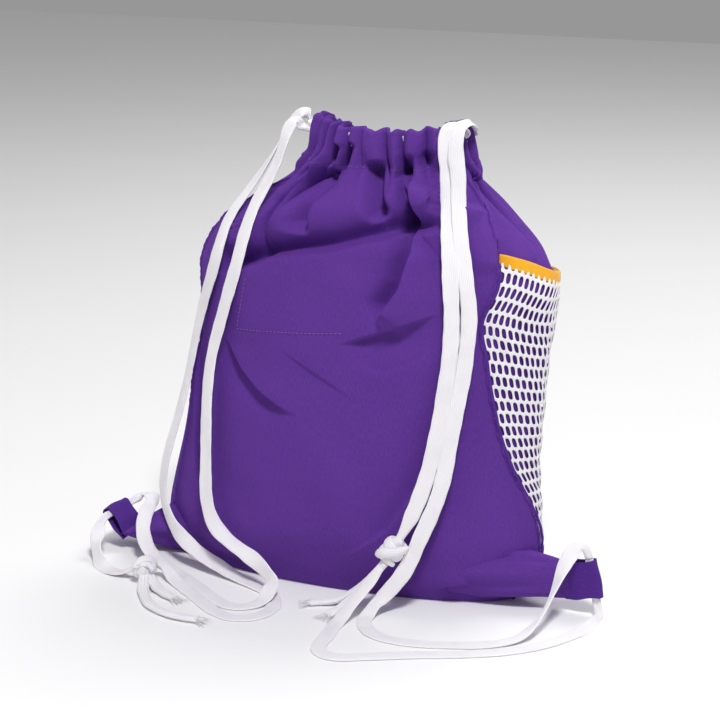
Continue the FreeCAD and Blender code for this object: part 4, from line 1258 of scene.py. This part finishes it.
# Each strand, and the lengths over which it gathers at its start and at its end.
STRANDS = [("strand_left_to_knot", 0.02, 0.03), ("strand_left_to_tab", 0.02, 0.02),
           ("strand_left_tab_to_knot", 0.02, 0.02), ("strand_right_to_knot", 0.0, 0.02),
           ("strand_right_to_tab", 0.0, 0.02), ("strand_right_knot_to_tab", 0.02, 0.02)]
cords, paths, frays = {}, {}, {}
for seed, (name, gathered_start, gathered_end) in enumerate(STRANDS, start=1):
    cords[name], paths[name] = ribbon(name, gathered_start, gathered_end, seed=seed)
for name in ("strand_left_to_knot", "strand_right_to_knot"):
    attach(cords[name], "bag")
for name, loop, start, end in (
        ("strand_left_to_tab", "loop_left", (-0.150, 0, 0), (-0.190, 0, 0)),
        ("strand_left_tab_to_knot", "loop_left", (-0.150, 0, 0), (-0.190, 0, 0)),
        ("strand_right_to_tab", "loop_right", (0.204, 0, 0), (0.222, 0, 0)),
        ("strand_right_knot_to_tab", "loop_right", (0, -0.070, 0), (0, -0.025, 0))):
    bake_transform(cords[name])

left_knot = knot_bands("left_knot", (-0.128, -0.101, 0.0112), (-0.35, 0.94, 0), (0.5, 0, 1),
                       0.0072, 0.0085, 0.0095, "knot_left")
right_knot = knot_bands("right_knot", (0.082, -0.072, 0.050), (0.55, 0.15, 0.85), (0.2, -1, 0.1),
                        0.0075, 0.0105, 0.0105, "knot_right")
TAILS = ["tail_left_long", "tail_left_short", "tail_right_long", "tail_right_short"]
for seed, name in enumerate(TAILS, start=11):
    cords[name], paths[name], frays[name] = tail(name, seed)


# ------------------------------------------------------------------ studio
def aimed(name, data, location, target):
    """A light or camera that looks from one place at another."""
    holder = bpy.data.objects.new(name, data)
    holder.location = location
    holder.rotation_mode = "QUATERNION"
    holder.rotation_quaternion = (target - location).to_track_quat("-Z", "Y")
    bpy.context.scene.collection.objects.link(holder)
    return holder


def studio():
    floor = mesh_object("floor", [(-4, -4, 0), (4, -4, 0), (4, 4, 0), (-4, 4, 0)],
                        [(0, 1, 2, 3)])
    material, tree, shader = new_material("paper")
    grain = noise(tree, node(tree, "ShaderNodeTexCoord").outputs["Object"], 3.0, 2.0)
    colour_by(tree, shader, grain, 0.0, (0.90, 0.90, 0.905), 1.0, (0.93, 0.93, 0.93))
    shader.inputs["Roughness"].default_value = 0.9
    floor.data.materials.append(material)
    world = bpy.data.worlds.new("studio")
    world.use_nodes = True
    background = world.node_tree.nodes["Background"]
    background.inputs[0].default_value = (1.0, 1.0, 1.0, 1)
    background.inputs[1].default_value = 0.31
    bpy.context.scene.world = world
    lights = (("key", (0.8, -1.15, 2.35), 46.0, 0.45), ("fill", (-2.2, -1.2, 0.9), 5.0, 1.4),
              ("top", (0.4, 1.4, 2.3), 26.0, 1.2))
    for name, location, power, size in lights:
        data = bpy.data.lights.new(name, "AREA")
        data.energy = power
        data.size = size
        aimed(name, data, Vector(location), Vector((0, 0, 0.15)))


def camera():
    azimuth, elevation, distance = math.radians(25), math.radians(15), 1.70
    target = Vector((0, 0, 0.179))
    back = Vector((math.sin(azimuth) * math.cos(elevation),
                   -math.cos(azimuth) * math.cos(elevation), math.sin(elevation)))
    data = bpy.data.cameras.new("camera")
    data.sensor_width = 36.0
    data.lens = 103.65
    data.shift_x = 0.032
    bpy.context.scene.camera = aimed("camera", data, target + back * distance, target)


studio()
camera()
bpy.context.scene.view_settings.view_transform = "Standard"
